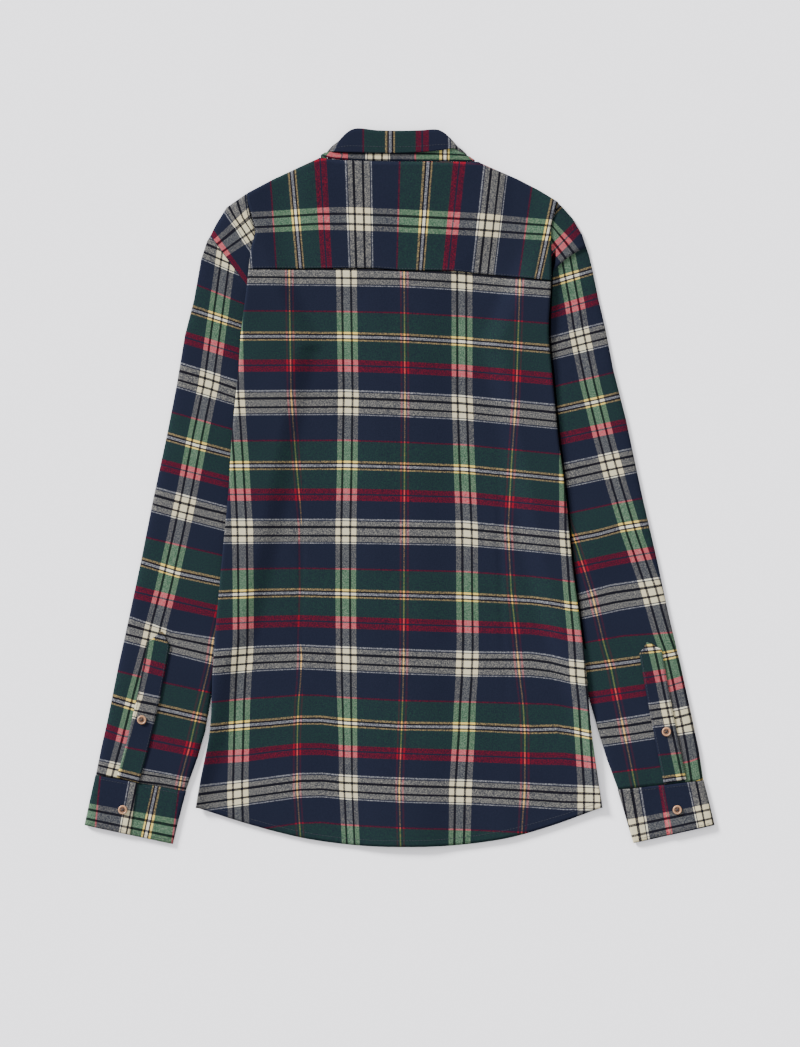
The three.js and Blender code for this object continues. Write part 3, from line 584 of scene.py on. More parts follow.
def body_warp(x, y, panel):
    """panel counts the stretches between the darts: 0 at the left, 1 in the middle, 2 at the right."""
    last = bracket([row[0] for row in BODY_WARP], y)
    low, high = BODY_WARP[last - 1], BODY_WARP[last]
    part = min(1.15, max(-0.3, (y - low[0]) / (high[0] - low[0])))
    places = [(a[0] + part * (b[0] - a[0]), a[1] + part * (b[1] - a[1])) for a, b in zip(low[1], high[1])]
    first, end = ((0, 3), (3, 8), (8, 11))[panel]
    if x <= places[0][0]:
        return places[0][1] + (x - places[0][0]) / WARP_REPEAT
    if x >= places[-1][0]:
        return places[-1][1] + (x - places[-1][0]) / WARP_REPEAT
    return along(places[first:end], x)


def body_weft(x, y):
    return between_lines(BODY_WEFT, x, y, 0, turn=-1)


def back_share(column):
    return min(1, max(0, (column - TOP_START) / TOP_COLUMNS))


def back_panel_zone(column, row):
    return (column > TOP_START + DART_COLUMNS[0]) + (column > TOP_START + DART_COLUMNS[0] + DART_COLUMNS[1])


BACK_ENDS = [
    (
        meet(back_share(column), left_edge, right_edge, hem_y, -352),
        meet(back_share(column), left_edge, right_edge, lambda x: seam_y(x) - SEAM, 0),
    )
    for column in range(BACK_COLUMNS + 1)
]


def dart_share(share, y):
    """Moves the columns of the panel's top so that one follows each dart."""
    start = left_edge(y) + FOLD_REACH
    width = right_edge(y) - FOLD_REACH - start
    stops = [
        (0, 0),
        (DART_COLUMNS[0] / TOP_COLUMNS, (dart_x(LEFT_DART_ANCHOR, y) - start) / width),
        (1 - DART_COLUMNS[2] / TOP_COLUMNS, (dart_x(RIGHT_DART_ANCHOR, y) - start) / width),
        (1, 1),
    ]
    return along(stops, share)


def back_relief(x, y):
    """Creases at the darts, the seam's dip under the yoke, and soft waves and drags of the cloth."""
    relief = -0.5 * math.exp((y - seam_y(x)) / 3)
    for anchor in DART_ENDS:
        away = abs(x - dart_x(anchor, y))
        relief -= dart_depth(anchor, y) * (0.9 * math.exp(-away / 1.6) + 0.15 * math.exp(-((away / 9) ** 2)))
        below = DART_ENDS[anchor] + 40 - y
        relief += 0.3 * math.exp(-((away / 16) ** 2)) * smooth(below / 60)
    near_hem = smooth((-250 - y) / 120)
    relief += 0.4 * near_hem * math.sin(x / 33 + 0.6) + 0.15 * near_hem * math.sin(x / 17)
    for side in (-1, 1):
        drag = (side * x - 150) * 0.8 + (y - 140) * 0.6
        inwards = math.exp(-(((side * x - 150) / 45) ** 2) - ((y - 130) / 60) ** 2)
        relief += 0.15 * inwards * math.sin(drag / 7)
    return relief


def back_top(x, y):
    return back_base(x, y) + BODY_HEIGHT


def back_shape(column, row):
    low, high = BACK_ENDS[column]
    y = low + row / BACK_ROWS * (high - low)
    if TOP_START <= column <= TOP_START + TOP_COLUMNS:
        start = left_edge(y) + FOLD_REACH
        x = start + dart_share(back_share(column), y) * (right_edge(y) - FOLD_REACH - start)
        return x, y, back_top(x, y) + back_relief(x, y), x, y, 0
    side = -1 if column < TOP_START else 1
    from_seam = column if side < 0 else BACK_COLUMNS - column
    edge = left_edge(y) if side < 0 else right_edge(y)
    tuck = 2 * ARMHOLE_CLEARANCE + 6 * (1 - smooth(abs(y - UNDERARM_Y) / 35))
    seam = under_left_x(y) - tuck if side < 0 else under_right_x(y) + tuck
    low_z = ON_SLEEVE * over_sleeve(edge, y)
    start = edge - side * FOLD_REACH
    high_z = back_top(edge, y) + back_relief(start, y)
    rolled = (high_z - low_z) * ROUND_LENGTH
    if from_seam > UNDER_COLUMNS:
        angle = math.pi * ((from_seam - UNDER_COLUMNS) / FOLD_COLUMNS - 0.5)
        x = edge - side * FOLD_REACH * (1 - math.cos(angle))
        z = (low_z + high_z) / 2 + (high_z - low_z) / 2 * math.sin(angle)
        return x, y, z, start, y, side * (0.5 - angle / math.pi) * rolled
    x = seam + from_seam / UNDER_COLUMNS * (start - seam)
    return x, y, ON_SLEEVE * over_sleeve(x, y), start, y, side * (abs(x - start) + rolled)


def back_pattern(x, y, onward, zone):
    return body_warp(x, y, zone) + onward / WARP_REPEAT, body_weft(x, y)


back_panel = cloth_grid(
    "back_panel_cloth", BACK_COLUMNS, BACK_ROWS, back_shape, back_pattern, zone=back_panel_zone
)
place_piece(back_panel, "back_panel")

# Yoke
# Cut with the check turned a quarter, from the seam across the back over both shoulders to the
# seams at the front. It lies on the back panel's edge, half a millimetre higher.
YOKE_FRONT_DROP = 35
YOKE_LIP = 0.6
NECK_LEFT, NECK_RIGHT = -88.3, 86.3
SHOULDER_COLUMNS, NECK_COLUMNS = 26, 50
NECK_COLUMNS_END = SHOULDER_COLUMNS + NECK_COLUMNS
YOKE_COLUMNS = SHOULDER_COLUMNS + NECK_COLUMNS_END
YOKE_TOP_ROWS, YOKE_ROUND_ROWS, YOKE_FRONT_ROWS = 34, 6, 8
YOKE_ROUND_END = YOKE_TOP_ROWS + YOKE_ROUND_ROWS
YOKE_ROWS = YOKE_ROUND_END + YOKE_FRONT_ROWS
SHOULDER_WIDTH = right_edge(318) - left_edge(318)
NECK_START = (NECK_LEFT - left_edge(318)) / SHOULDER_WIDTH
NECK_END = (NECK_RIGHT - left_edge(318)) / SHOULDER_WIDTH
YOKE_WEFT = [
    (0.196, [(-136.7, 248.6), (-142.6, 338.8)]), (0.391, [(-110.2, 248.6), (-118.5, 338.8)]),
    (0.615, [(-81.4, 248.6), (-86.7, 338.8)]), (0.902, [(-44.0, 248.6), (-46.2, 338.8)]),
    (0.995, [(-30.1, 248.6), (-31.5, 338.8)]), (1.196, [(-3.5, 248.6), (-1.1, 338.8)]),
    (1.391, [(22.9, 248.6), (29.3, 338.8)]), (1.615, [(53.6, 248.6), (63.3, 338.8)]),
    (1.902, [(93.4, 248.6), (103.6, 338.8)]), (1.995, [(105.8, 248.6), (116.9, 338.8)]),
    (2.196, [(133.1, 248.6), (145.8, 338.8)]), (2.391, [(155.3, 248.6), (175.3, 338.8)]),
]
YOKE_WARP = [
    (0.0, [(-166.1, 291.3), (-88, 295.7), (-55, 295.7), (0, 293.5), (83.6, 289.4), (159.5, 283.6)]),
    (0.4913, [(-166.1, 355), (-93.5, 361.4), (-69.3, 365.2), (0, 362.7), (56.1, 360), (88, 357.7), (165, 347)]),
]


def yoke_share(column):
    if column <= SHOULDER_COLUMNS:
        return NECK_START * column / SHOULDER_COLUMNS
    if column >= NECK_COLUMNS_END:
        return NECK_END + (1 - NECK_END) * (column - NECK_COLUMNS_END) / SHOULDER_COLUMNS
    return NECK_START + (NECK_END - NECK_START) * (column - SHOULDER_COLUMNS) / NECK_COLUMNS


def shoulder_meet(share):
    return meet(share, left_edge, right_edge, shoulder_y, 318)


YOKE_ENDS = [
    (meet(yoke_share(column), left_edge, right_edge, lambda x: seam_y(x) + SEAM, 0), shoulder_meet(yoke_share(column)))
    for column in range(YOKE_COLUMNS + 1)
]


def yoke_front_point(share, shoulder, drop):
    y = shoulder - drop
    x = under_left_x(y) + share * (under_right_x(y) - under_left_x(y))
    return x, y, COLLAR_LIFT * near_collar(x, y)


def yoke_shape(column, row):
    share = yoke_share(column)
    low, high = YOKE_ENDS[column]
    out_of_neck = max(NECK_START - share, share - NECK_END, 0)
    reach = min(3, 0.3 + out_of_neck * 60) if out_of_neck > 0 else 0
    if row <= YOKE_TOP_ROWS:
        y = low + (row / YOKE_TOP_ROWS) ** 1.3 * (high - reach - low)
        x = left_edge(y) + share * (right_edge(y) - left_edge(y))
        return x, y, back_top(x, y) + YOKE_LIP * math.exp((low - y) / 9), x, y, 0
    x_top = left_edge(high) + share * (right_edge(high) - left_edge(high))
    top_z = back_top(x_top, high)
    base = COLLAR_LIFT * near_collar(x_top, high)
    rolled = (top_z - base) * ROUND_LENGTH
    if row <= YOKE_ROUND_END:
        angle = math.pi * (0.5 - (row - YOKE_TOP_ROWS) / YOKE_ROUND_ROWS)
        y = high - reach * (1 - math.cos(angle))
        x = left_edge(y) + share * (right_edge(y) - left_edge(y))
        front_x = yoke_front_point(share, high, reach)[0]
        x += smooth((row - YOKE_TOP_ROWS) / YOKE_ROUND_ROWS) * (front_x - x)
        z = (top_z + base) / 2 + (top_z - base) / 2 * math.sin(angle)
        return x, y, z, x, high, (0.5 - angle / math.pi) * rolled
    drop = reach + (row - YOKE_ROUND_END) / YOKE_FRONT_ROWS * (YOKE_FRONT_DROP - reach)
    x, y, z = yoke_front_point(share, high, drop)
    return x, y, z, x, high, rolled + drop


def yoke_pattern(x, y, onward, zone):
    return between_lines(YOKE_WARP, x, y, 0) + onward / WARP_REPEAT, between_lines(YOKE_WEFT, x, y, 1)


def is_neck_opening(column, row):
    return row > YOKE_TOP_ROWS and SHOULDER_COLUMNS < column < NECK_COLUMNS_END


yoke = cloth_grid("yoke_cloth", YOKE_COLUMNS, YOKE_ROWS, yoke_shape, yoke_pattern, drop=is_neck_opening)
place_piece(yoke, "yoke")

# Fronts and button band
# Two fronts under the back, as wide as the back, meeting at a button band on the left one.
FRONT_NECK = [(0, 274), (19, 275), (42, 285.8), (69, 309.5), (84, 327)]
FRONT_NECK_X = 84
FRONT_HEM_SHORTER = 10
FRONT_COLUMNS, FRONT_ROWS = 44, 110
BAND_HALF_WIDTH = 16
BUTTON_SIDE_INNER_X = -14
BAND_BASE = 2.2
BUTTON_SIDE_BASE = 3.7
BAND_TOP = 275
BAND_COLUMNS, BAND_ROWS = 8, 100
BAND_LOW = hem_y(0) + FRONT_HEM_SHORTER
YOKE_FRONT_EDGE = [
    yoke_front_point(k / 40, shoulder_meet(k / 40), YOKE_FRONT_DROP + 2 * SEAM)[:2] for k in range(41)
]


def front_pattern(x, y, onward, zone):
    return 0.5087 - x / WARP_REPEAT, body_weft(0, y)


def front_piece(name, node, side, inner_x, outer_x_at, height, base_end):
    def top_y(x):
        if side * x <= FRONT_NECK_X:
            return along(FRONT_NECK, abs(x))
        return min(along(YOKE_FRONT_EDGE, x), FRONT_NECK[-1][1])

    ends = []
    for column in range(FRONT_COLUMNS + 1):
        share = column / FRONT_COLUMNS
        ends.append((
            meet(share, outer_x_at, lambda _: inner_x, lambda x: hem_y(x) + FRONT_HEM_SHORTER, -352),
            meet(share, outer_x_at, lambda _: inner_x, top_y, 318),
        ))

    def shape(column, row):
        low, high = ends[column]
        y = low + row / FRONT_ROWS * (high - low)
        x = outer_x_at(y) + column / FRONT_COLUMNS * (inner_x - outer_x_at(y))
        past_band = side * x - base_end
        return x, y, max(front_base(x, y), height * (1 - smooth(past_band / 18))), x, y, 0

    piece = cloth_grid(name, FRONT_COLUMNS, FRONT_ROWS, shape, front_pattern, turned=side < 0)
    place_piece(piece, node)
    return piece


front_left = front_piece(
    "front_left_cloth", "front_left", -1, -BAND_HALF_WIDTH - SEAM, under_left_x, BAND_BASE, BAND_HALF_WIDTH + SEAM
)
front_right = front_piece(
    "front_right_cloth", "front_right", 1, BUTTON_SIDE_INNER_X, under_right_x, BUTTON_SIDE_BASE,
    BAND_HALF_WIDTH + 8,
)


def band_shape(column, row):
    x = BAND_HALF_WIDTH * (1 - 2 * column / BAND_COLUMNS)
    y = BAND_LOW + row / BAND_ROWS * (BAND_TOP - BAND_LOW)
    return x, y, BAND_BASE, x, y, 0


button_band = cloth_grid("button_band_cloth", BAND_COLUMNS, BAND_ROWS, band_shape, front_pattern)
place_piece(button_band, "button_band")

# Sleeves
# Tubes of the check lying flat, folded down at the shoulder, where each has a slanting tuck. The
# seam runs along the hidden inner edge.
SECTION = [
    (0, 0), (0.004, 0.33), (0.01, 0.52), (0.022, 0.72), (0.04, 0.86), (0.065, 0.955), (0.1, 1), (0.9, 1),
    (0.935, 0.955), (0.96, 0.86), (0.978, 0.72), (0.99, 0.52), (0.996, 0.33), (1, 0),
]
HALF_COLUMNS = 44
EDGE_COLUMNS = 6
TUBE_COLUMNS = 2 * HALF_COLUMNS
ROW_LENGTH = 3.4
CREASE_STATION = 3
CREASE_LINE = 0.06
CREASE_DROP = 0.9
SHADOW_GAP = 2.8
SHADOW_DEPTH = 2.1
LEFT_CREASE_BOW = 0
RIGHT_CREASE_BOW = 22
# The half widths of the group of three pale stripes beside its middle line, at the top and the cuff
TRIPLE_TOP = (280, 8.2)
TRIPLE_CUFF = (-320, 9.9)
FIRST_CREAM, THIRD_CREAM = -0.068, 0.0696
LEFT_MIDDLE = [
    (-309, -308), (-300.5, -277), (-289.5, -233), (-272, -167), (-269, -152), (-258, -110.5), (-244.5, -51),
    (-233.5, 1.5), (-223.5, 54.5), (-211, 114.5), (-203, 174), (-196, 225),
]
RIGHT_MIDDLE = [
    (325.5, -317), (321, -287), (314, -252), (306, -214.5), (298.5, -182.5), (289.5, -158), (276, -110.5),
    (255, -51), (238.5, 2), (224, 54.5), (209, 114), (196.5, 174), (192.5, 200), (185.5, 237.5),
]


def triple(middle):
    """The three pale stripes along a sleeve, from their middle line."""
    def beside(share, turn):
        width = [TRIPLE_CUFF, TRIPLE_TOP]
        return share, [(x + turn * along(width, y), y) for x, y in middle]

    return [beside(FIRST_CREAM, -1), (0, middle), beside(THIRD_CREAM, 1)]


LEFT_SLEEVE_WARP = triple(LEFT_MIDDLE) + [
    (0.5087, [(-243, -329.5), (-240.5, -316.5), (-231.5, -284), (-223.5, -249), (-217, -223.5), (-209.5, -192.5),
              (-206, -167), (-196, -123), (-178.5, -50.5), (-157.5, 55), (-130, 225.5)]),
]
LEFT_SLEEVE_WEFT = [
    (0.995, [(-216.5, 251.5), (-178.5, 235)]), (1.196, [(-221.5, 223), (-172, 203)]),
    (1.391, [(-227.5, 196), (-173.5, 178.5)]), (1.615, [(-233, 165), (-176, 147.5)]),
    (1.808, [(-239.5, 137.5), (-179.5, 118.5)]), (1.9016, [(-243.5, 124), (-210, 115), (-181, 104.5)]),
    (1.995, [(-245, 111), (-182, 91.5)]), (2.196, [(-249, 83), (-187, 65.5)]),
    (2.391, [(-256, 56.5), (-225, 47.5), (-187, 37.5)]), (2.615, [(-262, 25.5), (-189, 7)]),
    (2.808, [(-267, 0.5), (-192, -20)]), (2.9016, [(-271.5, -12.5), (-238.5, -22), (-193.5, -32.5)]),
    (2.995, [(-274, -25.5), (-194.5, -46.5)]), (3.196, [(-278, -54.5), (-197, -73.5)]),
    (3.391, [(-285, -81), (-245.5, -93.5), (-198, -103.5)]), (3.615, [(-292.5, -114), (-201, -135.5)]),
    (3.808, [(-297, -141.5), (-250, -158), (-205, -165)]),
    (3.9016, [(-300, -156), (-224.5, -174), (-207, -178)]), (3.995, [(-303.5, -169), (-207, -193.5)]),
    (4.196, [(-310, -201.5), (-257, -214.5), (-210.5, -224.5)]),
    (4.391, [(-316.5, -232.5), (-292, -240), (-264.5, -242.5), (-212.5, -254.5)]),
    (4.615, [(-323, -266.5), (-304.5, -273), (-273.5, -277.5), (-220.5, -288.5)]),
    (4.808, [(-331, -298.5), (-282.5, -309.5), (-230.5, -319.5)]),
    (4.9016, [(-333, -308.5), (-312, -314), (-259, -321), (-235.5, -325.5)]),
]
LEFT_CAP_WARP = [
    (FIRST_CREAM, [(-202.5, 273), (-185, 288.5)]), (0, [(-197.5, 264), (-177, 279.5)]),
    (THIRD_CREAM, [(-192.5, 258), (-172, 272)]),
]
LEFT_CAP_WEFT = [
    (0.64, [(-170, 229), (-202.5, 274), (-207, 280.5)]), (0.8085, [(-166, 262), (-182.5, 288.5), (-192.5, 302)]),
    (0.995, [(-159, 286), (-166, 297), (-168, 307), (-169, 321)]),
]
RIGHT_SLEEVE_WARP = [
    (-0.4913, [(259, -329.5), (252, -294.5), (245.5, -263.5), (237.5, -225.5), (232, -198), (224.5, -172.5),
               (212, -120), (203.5, -92.5), (192.5, -58), (185, -39), (159.5, 55), (123, 237.5)]),
] + triple(RIGHT_MIDDLE)
RIGHT_SLEEVE_WEFT = [
    (0.391, [(168, 226.5), (187.5, 232.5), (208, 238.5)]), (0.615, [(168, 193.5), (216.5, 208.5)]),
    (0.808, [(166, 167), (223, 182)]), (0.9016, [(168, 154), (199, 163), (226, 170)]),
    (0.995, [(170, 142.5), (228.5, 157)]), (1.196, [(172.5, 112.5), (236, 127.5)]),
    (1.391, [(172.5, 85.5), (215, 95), (242, 101.5)]), (1.615, [(175.5, 54.5), (249, 70)]),
    (1.808, [(177, 26.5), (255, 44)]), (1.9016, [(178, 13.5), (232, 26), (258.5, 31)]),
    (1.995, [(179, 0), (260.5, 17.5)]), (2.196, [(184, -28), (235, -17), (267.5, -11)]),
    (2.391, [(186, -57), (217.5, -51), (243.5, -43.5), (272.5, -39)]),
    (2.615, [(191, -88), (217.5, -82), (248.5, -76), (280.5, -70.5)]),
    (2.808, [(195.5, -116.5), (231.5, -106.5), (285, -98.5)]),
    (2.9016, [(197, -128.5), (235, -120), (277, -114), (289.5, -111.5)]),
    (2.995, [(199, -144), (241, -134.5), (291, -126)]),
    (3.196, [(209, -169), (245.5, -162.5), (276.5, -160.5)]),
    (3.391, [(209, -197), (236.5, -193.5), (262, -190), (305.5, -181.5)]),
    (3.615, [(209, -231), (267.5, -222.5), (296.5, -218), (313, -212.5)]),
    (3.808, [(216.5, -258), (276.5, -248), (302, -243.5), (318.5, -240)]),
    (3.9016, [(220, -269), (249, -266.5), (278.5, -262), (304, -258), (322, -252.5)]),
    (3.995, [(224.5, -284), (280, -275.5)]),
    (4.196, [(233, -313), (285.5, -306.5), (318.5, -301), (330.5, -296.5)]),
]
RIGHT_CAP_WARP = [
    (FIRST_CREAM, [(181.5, 246.5), (170, 262)]), (0, [(186.5, 255.5), (177.5, 268), (166, 284)]),
    (THIRD_CREAM, [(192.5, 263), (185.5, 272), (166, 293.5)]),
]
RIGHT_CAP_WEFT = [
    (0.615, [(168.5, 260.5), (177.5, 269.5), (192.5, 284.5)]), (0.8085, [(168.5, 221.5), (192.5, 245.5)]),
]


def section_across(column, split=0.5, step=0):
    """The share across a flat tube of a column of its half, finer at the rounded edges. Two columns may
    lie close together at a split."""
    share = column / HALF_COLUMNS
    edge = EDGE_COLUMNS / HALF_COLUMNS
    if share < edge:
        return 0.1 * (share / edge) ** 2
    if share > 1 - edge:
        return 1 - 0.1 * ((1 - share) / edge) ** 2
    return along([(edge, 0.1), (0.5, split), (0.5 + 1 / HALF_COLUMNS, split + step), (1 - edge, 0.9)], share)


def tube_point(table, across, at, over, top_drop=0, bow_y=0):
    """A point of a flat tube. Its under side goes on with the check from the outer edge."""
    outer_x, outer_y, inner_x, inner_y, bow, height = (
        along([(k, *row) for k, row in enumerate(table)], at, k) for k in range(1, 7)
    )
    bulge = 4 * across * (1 - across)
    x = outer_x + across * (inner_x - outer_x) + bow * bulge
    y = outer_y + across * (inner_y - outer_y) + bow_y * bulge
    section = along(SECTION, across)
    z = height / 2 * (1 + (section if over else -section)) - (top_drop * section if over else 0)
    if over:
        return x, y, z, x, y, 0
    return x, y, z, outer_x, outer_y, across * math.hypot(inner_x - outer_x, inner_y - outer_y)


def sleeve_places(table):
    """Each row's place among the stations of a sleeve. One row follows the tuck, the next its shadow."""
    places = [0]
    for index, (a, b) in enumerate(zip(table, table[1:])):
        length = (math.hypot(a[0] - b[0], a[1] - b[1]) + math.hypot(a[2] - b[2], a[3] - b[3])) / 2
        count = max(1, round(length / ROW_LENGTH))
        if index == CREASE_STATION:
            places.append(index + CREASE_LINE)
        places += [index + (k + 1) / count for k in range(count)]
    return places


def sleeve_relief(across, at, side):
    """Soft troughs and ridges: drags from the underarm, a ripple below the tuck and slack at the cuff."""
    top = smooth((at - CREASE_STATION) / 1.5) * (1 - smooth((at - 9) / 3))
    elbow = math.exp(-(((at - 10.5) / 2.2) ** 2))
    cuff = smooth((at - 14) / 2)
    relief = 0.3 * top * math.sin(1.5 * at + 5 * across + side)
    relief += 0.25 * elbow * math.sin(1.1 * at - 7 * across)
    relief += 0.25 * cuff * math.sin(17 * across + side)
    return relief * 4 * across * (1 - across)


def body_edge_share(table, at):
    """Where across the right sleeve the shadow gap beside the body's edge starts, how wide it is, and
    how deep."""
    outer_x, outer_y, inner_x, inner_y = (
        along([(k, *row) for k, row in enumerate(table)], at, k) for k in range(1, 5)
    )
    share = 0.5
    for _ in range(4):
        y = outer_y + share * (inner_y - outer_y)
        share = (right_edge(y) + SHADOW_GAP - outer_x) / (inner_x - outer_x)
    depth = SHADOW_DEPTH * smooth((y + 258) / 40) * smooth((272 - y) / 16) * smooth((0.885 - share) / 0.03)
    return min(0.87, max(0.2, share)), SHADOW_GAP / (outer_x - inner_x) * 0.6, depth


def sleeve_piece(name, node, table, maps, bow, side):
    places = sleeve_places(table)
    gaps = [body_edge_share(table, at) if side > 0 else (0.5, 1 / HALF_COLUMNS, 0) for at in places]

    def shape(column, row):
        over = column <= HALF_COLUMNS
        at = places[row]
        split, step, depth = gaps[row]
        across = section_across(column if over else TUBE_COLUMNS - column, split, step)
        below = at - CREASE_STATION
        drop = CREASE_DROP * (1 - smooth(below / 6)) if below > 0 else -0.4 * math.exp(2 * below)
        if column > HALF_COLUMNS // 2:
            drop = max(drop, depth)
        bow_y = bow * (1 - smooth(abs(below) / 3))
        point = tube_point(table, across, at, over, drop, bow_y)
        if over:
            return (point[0], point[1], point[2] + sleeve_relief(across, at, side), *point[3:])
        return point

    def zone(column, row):
        return places[int(row)] >= CREASE_STATION

    def pattern(x, y, onward, below_tuck):
        warp_map, weft_map = maps[below_tuck]
        return (
            between_lines(*warp_map[:1], x, y, *warp_map[1:]) + side * onward / WARP_REPEAT,
            between_lines(*weft_map[:1], x, y, *weft_map[1:]),
        )

    # The strip of the right sleeve beside the body's edge gets the darker flannel: painted shade for the deep shadow in
    # the crack.
    def in_painted_shade_strip(column, row):
        return 0 < column - HALF_COLUMNS // 2 < 4 and gaps[int(row)][2] > SHADOW_DEPTH / 2

    rows = len(places) - 1
    piece = cloth_grid(
        name, TUBE_COLUMNS, rows, shape, pattern, zone=zone, turned=side < 0, round_=True,
        dark=in_painted_shade_strip if side > 0 else None,
    )
    place_piece(piece, node)
    return piece


# Each map is the lines, whether they run across (0) or along (1), and the turn in which they are listed
LEFT_MAPS = (
    ((LEFT_CAP_WARP, 0, -1), (LEFT_CAP_WEFT, 1, 1)), ((LEFT_SLEEVE_WARP, 1, 1), (LEFT_SLEEVE_WEFT, 0, -1)),
)
RIGHT_MAPS = (
    ((RIGHT_CAP_WARP, 1, 1), (RIGHT_CAP_WEFT, 0, -1)), ((RIGHT_SLEEVE_WARP, 1, 1), (RIGHT_SLEEVE_WEFT, 0, -1)),
)
sleeve_left = sleeve_piece("sleeve_left_cloth", "sleeve_left", LEFT_SLEEVE, LEFT_MAPS, LEFT_CREASE_BOW, -1)
sleeve_right = sleeve_piece("sleeve_right_cloth", "sleeve_right", RIGHT_SLEEVE, RIGHT_MAPS, RIGHT_CREASE_BOW, 1)

CUFF_CLOTH = 1.6
CUFF_ROWS = 20
FLAP_STEP = 0.9
FLAP_LINE = 0.005
LEFT_CUFF = [
    (-335.5, -316, -235.5, -334, 0, 5.2), (-341.5, -343, -243, -362.5, 0, 5.2), (-347.5, -371, -250, -392, 0, 5.2),
]
RIGHT_CUFF = [
    (334.5, -322, 239.5, -332, 0, 5.2), (340.5, -346, 248, -361, 0, 5.2), (346.5, -371, 257, -391, 0, 5.2),
]
LEFT_FLAP_SPLIT = (0.465, 0.515)
RIGHT_FLAP_SPLIT = (0.49, 0.545)
LEFT_CUFF_WARP = [
    (FIRST_CREAM, [(-342, -349.5), (-243.5, -367.5)]), (0, [(-344, -358.5), (-246, -378.5)]),
    (THIRD_CREAM, [(-345.5, -367.5), (-250, -388)]),
]
LEFT_CUFF_WEFT = [(0.196, [(-249, -377), (-244.5, -342)]), (0.391, [(-279.5, -382.5), (-269, -333)])]
LEFT_FLAP_WEFT = [(-0.005, [(-306.5, -367.5), (-299, -326.5)]), (0.196, [(-334.5, -367.5), (-330, -320)])]
RIGHT_CUFF_WARP = [
    (FIRST_CREAM, [(252, -367.5), (341, -349.5)]), (0, [(254.5, -377.5), (343, -358.5)]),
    (THIRD_CREAM, [(257.5, -387), (345, -366.5)]),
]
RIGHT_CUFF_WEFT = [
    (0.64, [(296.5, -378.5), (288, -329)]), (0.8085, [(273, -378.5), (267, -342)]),
    (0.9016, [(257.5, -378.5), (251, -342)]),
]
RIGHT_FLAP_WEFT = [
    (0.9016, [(340, -367.5), (335.5, -343)]), (0.995, [(326.5, -367.5), (321, -343)]),
    (1.196, [(299, -378.5), (292.5, -343)]),
]


def cuff_piece(name, node, table, warp, weft, flap_weft, splits, side):
    def shape(column, row):
        over = column <= HALF_COLUMNS
        split = splits[0] + row / CUFF_ROWS * (splits[1] - splits[0])
        across = section_across(column if over else TUBE_COLUMNS - column, split, FLAP_LINE)
        at = row / CUFF_ROWS * (len(table) - 1)
        drop = FLAP_STEP if over and column > HALF_COLUMNS // 2 else 0
        return tube_point(table, across, at, over, drop)

    def zone(column, row):
        return HALF_COLUMNS // 2 < column < HALF_COLUMNS

    def pattern(x, y, onward, past_flap):
        lines = weft if past_flap else flap_weft
        return between_lines(warp, x, y, 0, -1), between_lines(lines, x, y, 1, -1) - side * onward / WEFT_REPEAT

    piece = cloth_grid(
        name, TUBE_COLUMNS, CUFF_ROWS, shape, pattern, zone=zone, turned=side < 0, round_=True, wall=CUFF_CLOTH
    )
    place_piece(piece, node)
    return piece


cuff_left = cuff_piece(
    "cuff_left_cloth", "cuff_left", LEFT_CUFF, LEFT_CUFF_WARP, LEFT_CUFF_WEFT, LEFT_FLAP_WEFT, LEFT_FLAP_SPLIT, -1
)
cuff_right = cuff_piece(
    "cuff_right_cloth", "cuff_right", RIGHT_CUFF, RIGHT_CUFF_WARP, RIGHT_CUFF_WEFT, RIGHT_FLAP_WEFT,
    RIGHT_FLAP_SPLIT, 1,
)

# Sleeve plackets
# A strip with a pointed top along each sleeve's opening, down to the cuff.
LEFT_PLACKET = [
    (-262, -158, 1.2), (-265.5, -172, 25), (-276, -228, 25), (-288, -280, 25), (-299.4, -321.2, 25),
]
RIGHT_PLACKET = [
    (271.5, -170, 1.2), (275.5, -180, 25), (284, -228, 25), (294, -280, 25), (302.6, -323.2, 25),
]
PLACKET_TOP = SLEEVE_HEIGHT + SEAM + CLOTH
PLACKET_COLUMNS, PLACKET_SPAN_ROWS = 10, 12
LEFT_PLACKET_WARP = [
    (THIRD_CREAM, [(-311, -316.5), (-301, -278.5), (-293.5, -251), (-285.5, -229), (-278, -196), (-273.5, -169)]),
    (0.4, [(-270, -316.5), (-233, -169)]),
]
LEFT_PLACKET_WEFT = [
    (0.391, [(-273.5, -161), (-251, -166.5)]), (0.615, [(-276.5, -195.5), (-256, -201.5)]),
    (0.9016, [(-288, -240), (-266.5, -244)]), (0.995, [(-293.5, -252.5), (-271, -259)]),
    (1.196, [(-299, -285.5), (-281, -289)]), (1.391, [(-310, -314), (-287, -320)]),
]
RIGHT_PLACKET_WARP = [
    (FIRST_CREAM, [(303.5, -306), (297.5, -278.5), (289.5, -242), (284, -214.5), (275.5, -178)]),
    (0, [(313, -306), (307, -278.5), (299.5, -242), (293.5, -214.5), (285.5, -178)]),
]
RIGHT_PLACKET_WEFT = [
    (0.391, [(264, -178), (285.5, -176)]), (0.615, [(267.5, -209), (291, -205)]),
    (0.808, [(273, -237), (298.5, -233.5)]), (0.9016, [(275.5, -249), (300, -245.5)]),
    (1.196, [(285.5, -293.5), (311, -291)]), (1.391, [(290, -322), (316.5, -318.5)]),
]


def placket_piece(name, node, table, warp, weft):
    rows = (len(table) - 1) * PLACKET_SPAN_ROWS
    keyed = [(k, *station) for k, station in enumerate(table)]

    def shape(column, row):
        at = row / PLACKET_SPAN_ROWS
        x, y, width = (along(keyed, at, k) for k in (1, 2, 3))
        index = min(len(table) - 1, round(at))
        before, after = table[max(0, index - 1)], table[min(len(table) - 1, index + 1)]
        across = Vector((after[1] - before[1], before[0] - after[0])).normalized()
        offset = (column / PLACKET_COLUMNS - 0.5) * width
        return x + across.x * offset, y + across.y * offset, PLACKET_TOP, x + across.x * offset, y + across.y * offset, 0

    def pattern(x, y, onward, zone):
        return between_lines(warp, x, y, 1), between_lines(weft, x, y, 0, -1)

    piece = cloth_grid(name, PLACKET_COLUMNS, rows, shape, pattern)
    place_piece(piece, node)
    return piece


